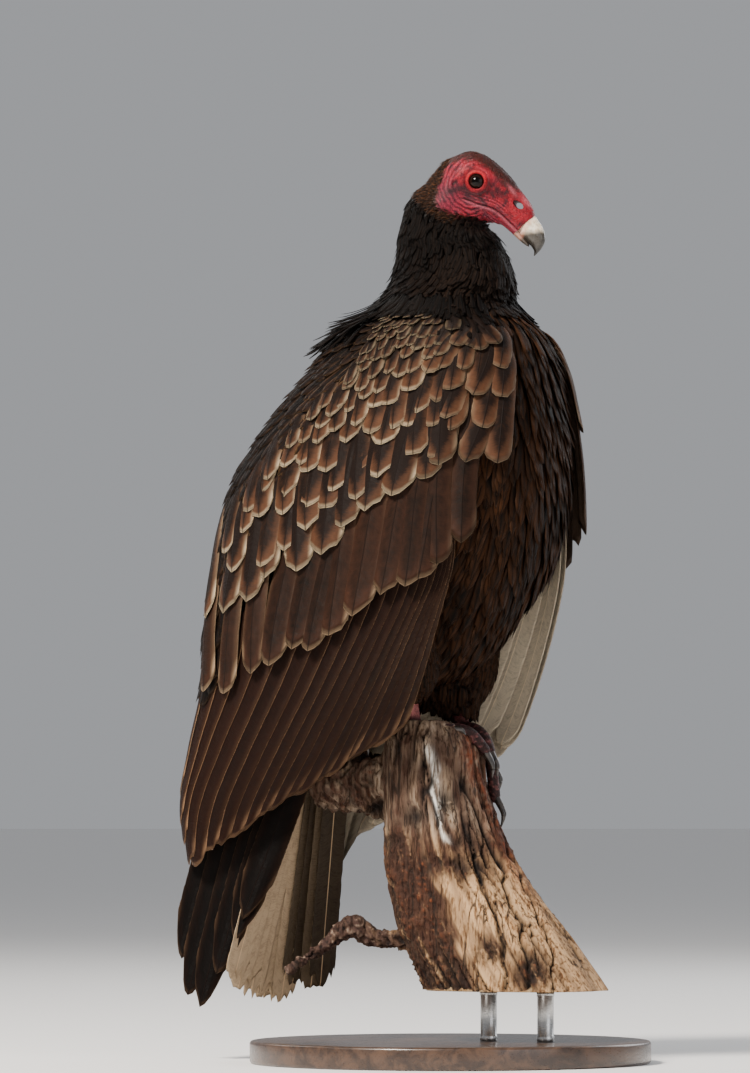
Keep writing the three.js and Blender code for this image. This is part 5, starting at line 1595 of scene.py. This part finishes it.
def bark(points, normal):
    """Depth in millimetres and linear colour of weathered wood at places on the perch.

    Fibres and cracks are noise stretched six to fourteen times up the limb; cracks lie where it crosses zero.
    Dark broken wood lies left of a line down the limb, smooth pale wood right of it, rust on the far edge.
    """
    x, y, z = points.T
    lean = y - np.interp(z, *np.array(LIMB)[:, :2].T)
    along, away = 0.454 * x - 0.891 * y, 0.891 * x + 0.454 * y
    facing = ramp(-away, -6, 22)
    even = np.stack([x, y, z], axis=-1)

    def grain(size, stretch):
        return np.stack([x, lean, z / stretch], axis=-1) / size

    knob, twig = ramp(y, 38, 58) * ramp(z, 170, 190), (1 - ramp(z, 116, 126)) * ramp(lean, 62, 78)
    lumps, small = layered(even / 8.0, 119), layered(even / 2.6, 127)
    fibre, strand = layered(grain(1.5, 14), 133), layered(grain(4.5, 8), 131)
    side = along - np.interp(z, [58, 90, 154, 200, 230], [18, 2, -26, -38, -48]) + 7 * noise(even / 13, 101)
    broken = ramp(-side, -10, 6) * (1 - ramp(z, 176, 200)) * facing
    band = hill(z - 158 - 7 * noise(even / 11, 103), 11) * hill(along + 8, 40) * facing
    clumps = hill(np.hypot(along - 62, z - 74) + 3 * lumps, 15)
    clumps = clumps + hill(np.hypot(along - 30, z - 92) + 3 * lumps, 11)
    away_patch = ramp(layered(grain(24.0, 2.2), 105, 2), 0.0, 0.4) * (1 - facing)
    rough = np.clip(np.maximum.reduce([0.9 * broken, band, clumps * facing, away_patch, 0.45 * knob]), 0, 1)
    plate = ramp(side, 2, 14) * (1 - ramp(z, 158, 172)) * (1 - rough) * facing
    line = np.minimum(np.abs(noise(grain(5.5, 14), 107)), 0.8 * np.abs(noise(grain(12.0, 12), 117)))
    crack = hill(line, 0.05 + 0.12 * rough) * ramp(noise(grain(18, 3), 113), -0.35, 0.3) * (1 - 0.3 * plate)
    swirl = np.sin(TURN * (np.hypot(lean, z - 222) / 8.0 + 1.1 * noise(even / 12, 121)))
    hollow = hill(np.hypot(along + 2, 0.8 * (z - 208)), 8.5) + hill(np.hypot(along + 30, z - 196), 9)
    hollow = hollow * facing * ramp(0.4 + lumps, -0.2, 0.3)
    split = np.maximum.reduce([
        hill(along - np.interp(z, [94, 210], ends) - 5.0 * noise(even / 14, 145 + ends[0]), 1.6)
        for ends in SPLITS])
    split = split * facing * (1 - ramp(z, 190, 205)) * ramp(small, -0.9, -0.1)
    depth = 0.85 * strand * (1 - 0.6 * plate) + 0.35 * fibre
    depth = depth + 3.4 * rough * lumps + 2.0 * rough * small - 1.6 * rough
    depth = depth - 4.6 * crack - 4.5 * hollow - 4.0 * split + 1.4 * knob * swirl
    depth = depth + twig * (2.8 * layered(even / 4.8, 129) + 1.5 * small)
    depth = np.clip(depth, -9.0, 3.0)

    upper = ramp(z, 172, 200)
    rust = hill(along - np.interp(z, [60, 160, 215, 245], [104, 50, 28, 16]), 9) * ramp(z, 90, 190)
    streak = hill(along - np.interp(z, [175, 215, 250], [-4, -10, -16]) - 3.5 * noise(even / 9, 141), 2.4)
    streak = streak * facing * ramp(z, 172, 182) * (1 - ramp(z, 246, 256)) * ramp(fibre, -0.6, 0.1)
    cut = ramp(-normal[:, 2], 0.8, 0.95) * (z < 62)
    rings = 0.5 + 0.5 * np.sin(np.hypot(x / 0.8, lean) * 2.1 + 1.2 * noise(even / 9, 143))
    colour = painted(
        "7d6048",
        ("3a281d", ramp(strand + 0.6 * fibre, -0.35, 0.5)),
        ("bd9a72", 0.8 * ramp(-strand + 0.5 * fibre, 0.15, 0.6)),
        ("8f7c69", 0.75 * upper),
        ("3a2a21", 0.75 * upper * ramp(strand + 0.7 * fibre, 0.0, 0.55)),
        ("b5a28e", 0.8 * upper * ramp(-strand - 0.5 * fibre, 0.1, 0.6)),
        ("3d2012", 0.8 * upper * ramp(lumps + 0.4 * strand, 0.15, 0.6)),
        ("cda67a", 0.9 * plate),
        ("a57b52", 0.7 * plate * ramp(strand + 0.8 * fibre, 0.1, 0.7)),
        ("6d4526", 0.8 * plate * ramp(small + 0.6 * lumps, 0.45, 0.9)),
        ("7d3610", 0.9 * rust * ramp(small, -0.7, 0.2)),
        ("33160a", 0.85 * rust * ramp(small - 0.5 * lumps, 0.1, 0.5)),
        ("3d2416", 0.9 * rough * ramp(strand + 0.5 * lumps, -0.5, 0.3)),
        ("7a3d1a", 0.65 * rough * ramp(small + 0.5 * strand, 0.2, 0.6)),
        ("130a07", 0.97 * rough * ramp(-lumps - 0.6 * fibre - 0.5 * small, -0.4, 0.1)),
        ("a98762", 0.7 * rough * ramp(fibre + 0.5 * small, 0.45, 0.8)),
        # Dark brown along the crack lines and near-black in the cracks, hollows and splits: painted shade in
        # them.
        ("3f2518", 0.8 * hill(line, 0.17) * (1 - 0.4 * plate)),
        ("0d0705", crack + 0.9 * hollow + 0.9 * split),
        ("f2ece2", 0.95 * streak),
        ("3f2c26", 0.85 * twig),
        ("96806f", 0.8 * twig * ramp(small + 0.5 * lumps, 0.1, 0.6)),
        ("120a08", 0.9 * twig * ramp(-small - 0.5 * fibre, 0.1, 0.6)))
    colour = blend(colour, painted("d2b48c", ("b08a5e", rings)), cut[:, None])
    return depth * (1 - cut), colour


def make_perch():
    """Adds the cut limb with its knob and twig as one weathered piece."""
    def wobble(along, angle):
        return 1 + 0.07 * np.sin(3 * angle + along / 9) + 0.05 * np.sin(5 * angle - along / 6)

    knob = tube(KNOB, [34, 27, 24, 15.5], 96, 60, shape=wobble)
    twig = tube(TWIG, [8.6, 7.4, 9.5, 5.4, 3.0], 48, 80, shape=wobble)
    points, normal, faces = fused([closed(rings) for rings in (limb_rings(), knob, twig)], 1.25)
    depth, colour = bark(points, normal)
    points = points + normal * depth[:, None]
    points[:, 2] = np.maximum(points[:, 2], LIMB_FOOT)
    material, tree, shader = new_material("Weathered wood", Roughness=0.85, Specular_IOR_Level=0.25)
    fibre = speckle(tree, place_of(tree, (420.0, 420.0, 52.0)), 1.0, 5.0, 0.62, 0.3)
    crumbs = speckle(tree, place_of(tree), 520.0, 4.0, 0.6)
    paint = attribute(tree, "Paint")
    lines = mapped(tree, fibre, 0.36, 0.54)
    shade = mixed(tree, lines, darkened(tree, paint, (0.34, 0.27, 0.22)), paint)
    splits = speckle(tree, place_of(tree, (55.0, 55.0, 4.5)), 1.0, 5.0, 0.5, 0.4)
    away = math_node(tree, "ABSOLUTE", math_node(tree, "SUBTRACT", splits, 0.5))
    split = mapped(tree, away, 0.004, 0.02, 1.0, 0.0)
    patches = mapped(tree, speckle(tree, place_of(tree), 30.0, 2.0, 0.5), 0.48, 0.58)
    split = math_node(tree, "MULTIPLY", split, patches)
    # Fine splits are painted near-black: painted shade in them.
    shade = mixed(tree, math_node(tree, "MULTIPLY", split, 0.85), shade, (0.02, 0.011, 0.007))
    shade = mixed(tree, mapped(tree, crumbs, 0.68, 0.82, 0.0, 0.5), shade, (0.045, 0.028, 0.02))
    height = math_node(tree, "ADD", fibre, math_node(tree, "MULTIPLY", crumbs, 0.6))
    height = math_node(tree, "SUBTRACT", height, split)
    finish_material(tree, shader, shade, mapped(tree, fibre, 0.3, 0.7, 0.95, 0.72), height, 0.0012, 0.8)
    new_piece("perch_wood", points, faces, material, "dead_wood", ["perch_limb", "perch_twig"], paint=colour)


def lathed(profile, around):
    """Rings of a profile of (radius, height) turned about the upright axis."""
    radius, height = np.asarray(profile, float).T[..., None]
    angle = circle(around)
    return np.stack([radius * np.cos(angle), radius * np.sin(angle), height + 0 * angle], axis=-1)


def rounded(radius, low, high, edge):
    """Profile of a disc with rounded edges: quarter circles of radius edge at its foot and top."""
    turn = np.linspace(0, math.pi / 2, 6)
    foot = np.column_stack([radius - edge + edge * np.sin(turn), low + edge - edge * np.cos(turn)])
    top = np.column_stack([radius - edge + edge * np.cos(turn), high - edge + edge * np.sin(turn)])
    rings = np.linspace(0.02, 1, 10)[:-1, None] * [[radius - edge, 0]]
    return np.concatenate([rings + [[0, low]], foot, top, rings[::-1] + [[0, high]]])


def make_stand():
    """Adds the round lacquered base and its two steel rods."""
    material, tree, shader = new_material(
        "Dark lacquered wood", Roughness=0.32, Specular_IOR_Level=0.5, Coat_Weight=0.35, Coat_Roughness=0.18)
    grain = speckle(tree, place_of(tree, (9.0, 90.0, 90.0)), 1.0, 5.0, 0.6, 0.8)
    pores = speckle(tree, place_of(tree, (60.0, 900.0, 900.0)), 1.0, 3.0, 0.6)
    colour = mixed(tree, mapped(tree, grain, 0.35, 0.65), (0.030, 0.016, 0.010), (0.085, 0.045, 0.026))
    colour = mixed(tree, mapped(tree, pores, 0.6, 0.72, 0.0, 0.6), colour, (0.012, 0.007, 0.005))
    finish_material(tree, shader, colour, mapped(tree, pores, 0.3, 0.7, 0.26, 0.42), pores, 0.0002, 0.3)
    new_piece("stand_disc", *closed(lathed(rounded(160.0, 0.0, 18.0, 2.6), 192)), material, "stand_wood",
              ["stand_base"])
    material, tree, shader = new_material("Brushed steel", Roughness=0.3, Metallic=1.0)
    brushed = speckle(tree, place_of(tree, (160.0, 160.0, 3200.0)), 1.0, 4.0, 0.6)
    colour = mixed(tree, brushed, (0.42, 0.42, 0.42), (0.66, 0.66, 0.65))
    finish_material(tree, shader, colour, mapped(tree, brushed, 0.3, 0.7, 0.24, 0.4), brushed, 0.0001, 0.25)
    profile = [(0.2, 18.3), (6.6, 18.3), (7.0, 18.7), (7.0, 22.6), (6.5, 23.1), (6.5, 54.0), (7.0, 54.5),
               (7.0, 57.4), (6.6, 57.7), (0.2, 57.7)]
    for name, y in (("front", -84.0), ("rear", -34.0)):
        points, faces = closed(lathed(profile, 64) + np.array([0.0, y, 0.0]))
        new_piece(f"stand_rod_steel_{name}", points, faces, material, "stand_steel", [f"stand_rod_{name}"])


# Stage


def make_stage():
    """Adds the pale floor, soft lights and the camera."""
    scene = bpy.context.scene
    material, tree, shader = new_material("Pale floor", Roughness=0.9, Specular_IOR_Level=0.2)
    grain = speckle(tree, place_of(tree), 90.0, 4.0)
    colour = mixed(tree, grain, (0.88, 0.87, 0.86), (0.92, 0.91, 0.90))
    finish_material(tree, shader, colour)
    grid = lathed([(radius * 1000, 0.0) for radius in (0.0005, 0.3, 1.0, 4.0, 16.0, 60.0)], 128)
    mesh = bpy.data.meshes.new("floor")
    faces = grid_faces(6, 128, True).tolist() + [list(range(127, -1, -1))]
    mesh.from_pydata((grid.reshape(-1, 3) * 0.001).tolist(), [], faces)
    if mesh.polygons[0].normal.z < 0:
        mesh.flip_normals()
    mesh.materials.append(material)
    floor = bpy.data.objects.new("floor", mesh)
    scene.collection.objects.link(floor)

    world = bpy.data.worlds.new("Studio")
    world.use_nodes = True
    background = world.node_tree.nodes["Background"].inputs
    background["Color"].default_value, background["Strength"].default_value = (0.86, 0.88, 0.92, 1.0), 0.42
    scene.world = world
    aim = Vector((0.0, 0.03, 0.42))
    settings = bpy.context.scene.vulture_stage
    for name, place, energy, size, colour in (
        ("key", (-2.3, 0.55, 2.5), settings.key, 0.7, (1.0, 0.93, 0.84)),
        ("fill", (-1.2, -3.2, 1.2), settings.fill, 2.2, (0.96, 0.97, 1.0)),
        ("rim", (1.2, 2.6, 2.4), settings.rim, 1.6, (1.0, 0.96, 0.90)),
        ("back", (2.8, -0.8, 1.6), settings.back, 1.8, (0.96, 0.98, 1.0)),
    ):
        light = bpy.data.lights.new(name, "AREA")
        light.energy, light.size, light.color = energy, size, colour
        lamp = bpy.data.objects.new(name, light)
        lamp.location = place
        lamp.rotation_euler = (aim - lamp.location).to_track_quat("-Z", "Y").to_euler()
        scene.collection.objects.link(lamp)

    camera = bpy.data.cameras.new("camera")
    camera.sensor_width, camera.lens = 36.0, settings.lens
    camera.clip_start, camera.clip_end = 0.1, 200.0
    viewer = bpy.data.objects.new("camera", camera)
    azimuth, elevation = settings.azimuth, settings.elevation
    target = Vector(settings.target)
    level = math.cos(elevation)
    away = Vector((math.sin(azimuth) * level, -math.cos(azimuth) * level, math.sin(elevation)))
    viewer.location = target + away * settings.distance
    viewer.rotation_euler = (-away).to_track_quat("-Z", "Y").to_euler()
    scene.collection.objects.link(viewer)
    scene.camera = viewer


# Add-on: settings, operators, panel and registration


class VultureStage(bpy.types.PropertyGroup):
    """Camera and lights."""

    lens: FloatProperty(name="Lens", description="Focal length", default=209.7, min=20.0, unit="CAMERA")
    distance: FloatProperty(
        name="Distance", description="Camera to target", default=5.0, min=1.0, unit="LENGTH")
    azimuth: FloatProperty(
        name="Azimuth", description="Turn round the bird", default=math.radians(-63.0), unit="ROTATION")
    elevation: FloatProperty(
        name="Elevation", description="Camera over level", default=math.radians(-2.5), unit="ROTATION")
    target: FloatVectorProperty(
        name="Target", description="Place the camera looks at", default=(-0.0272, 0.0535, 0.420),
        subtype="XYZ", unit="LENGTH")
    key: FloatProperty(name="Key light", description="Main light", default=235.0, min=0.0, unit="POWER")
    fill: FloatProperty(name="Fill light", description="Front light", default=26.0, min=0.0, unit="POWER")
    rim: FloatProperty(name="Rim light", description="Rear light", default=25.0, min=0.0, unit="POWER")
    back: FloatProperty(name="Far light", description="Far side light", default=36.0, min=0.0, unit="POWER")


class VultureOperator:
    """Shared running of one making function."""

    bl_options = {"REGISTER", "UNDO"}

    def execute(self, context):
        self.make()
        return {"FINISHED"}


class VulturePlumage(bpy.types.PropertyGroup):
    """How the coat is laid."""

    seed: IntProperty(name="Seed", description="Start of the repeatable scatter", default=7, min=0)
    wear: FloatProperty(name="Wear", description="How frayed the ends are", default=1.0, min=0.0, max=2.0)


class VULTURE_OT_skin(VultureOperator, bpy.types.Operator):
    """Adds the skin."""

    bl_idname = "vulture.skin"
    bl_label = "Skin"
    make = staticmethod(make_skin)


class VULTURE_OT_bill(VultureOperator, bpy.types.Operator):
    """Adds both halves of the bill."""

    bl_idname = "vulture.bill"
    bl_label = "Bill"
    make = staticmethod(make_bill)


class VULTURE_OT_eyes(VultureOperator, bpy.types.Operator):
    """Adds the eyeballs."""

    bl_idname = "vulture.eyes"
    bl_label = "Eyes"
    make = staticmethod(make_eyes)


class VULTURE_OT_claws(VultureOperator, bpy.types.Operator):
    """Adds the claws."""

    bl_idname = "vulture.claws"
    bl_label = "Claws"
    make = staticmethod(make_claws)


class VULTURE_OT_body_coat(VultureOperator, bpy.types.Operator):
    """Adds the body feathers."""

    bl_idname = "vulture.body_coat"
    bl_label = "Body feathers"
    make = staticmethod(make_body_coat)


class VULTURE_OT_wing_coat(VultureOperator, bpy.types.Operator):
    """Adds the wing coverts."""

    bl_idname = "vulture.wing_coat"
    bl_label = "Wing coverts"
    make = staticmethod(make_wing_coat)


class VULTURE_OT_flights(VultureOperator, bpy.types.Operator):
    """Adds the wing and tail feathers."""

    bl_idname = "vulture.flights"
    bl_label = "Flight and tail feathers"
    make = staticmethod(make_flights)


class VULTURE_OT_bristles(VultureOperator, bpy.types.Operator):
    """Adds the head bristles."""

    bl_idname = "vulture.bristles"
    bl_label = "Head bristles"
    make = staticmethod(make_bristles)


class VULTURE_OT_perch(VultureOperator, bpy.types.Operator):
    """Adds the cut limb."""

    bl_idname = "vulture.perch"
    bl_label = "Perch"
    make = staticmethod(make_perch)


class VULTURE_OT_stand(VultureOperator, bpy.types.Operator):
    """Adds the display stand."""

    bl_idname = "vulture.stand"
    bl_label = "Stand"
    make = staticmethod(make_stand)


class VULTURE_OT_stage(VultureOperator, bpy.types.Operator):
    """Adds the stage."""

    bl_idname = "vulture.stage"
    bl_label = "Stage"
    make = staticmethod(make_stage)


STEPS = (
    VULTURE_OT_skin, VULTURE_OT_bill, VULTURE_OT_eyes, VULTURE_OT_claws, VULTURE_OT_body_coat,
    VULTURE_OT_wing_coat, VULTURE_OT_flights, VULTURE_OT_bristles, VULTURE_OT_perch, VULTURE_OT_stand,
    VULTURE_OT_stage)


class VULTURE_PT_panel(bpy.types.Panel):
    """Steps and settings of the vulture."""

    bl_label = "Vulture"
    bl_idname = "VULTURE_PT_panel"
    bl_space_type = "VIEW_3D"
    bl_region_type = "UI"
    bl_category = "Vulture"

    def draw(self, context):
        for group in (context.scene.vulture_stage, context.scene.vulture_plumage):
            box = self.layout.box()
            for name in group.__annotations__:
                box.prop(group, name)
        for step in STEPS:
            self.layout.operator(step.bl_idname)


CLASSES = (VultureStage, VulturePlumage, *STEPS, VULTURE_PT_panel)


def register():
    """Registers the classes and the scene's settings."""
    for one in CLASSES:
        bpy.utils.register_class(one)
    bpy.types.Scene.vulture_stage = PointerProperty(type=VultureStage)
    bpy.types.Scene.vulture_plumage = PointerProperty(type=VulturePlumage)


def unregister():
    """Removes the settings and the classes."""
    del bpy.types.Scene.vulture_plumage
    del bpy.types.Scene.vulture_stage
    for one in reversed(CLASSES):
        bpy.utils.unregister_class(one)


def main():
    """Registers the add-on and runs its operators in order."""
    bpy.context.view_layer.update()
    register()
    for step in STEPS:
        getattr(bpy.ops.vulture, step.bl_idname.split(".")[1])()


if __name__ == "__main__":
    main()
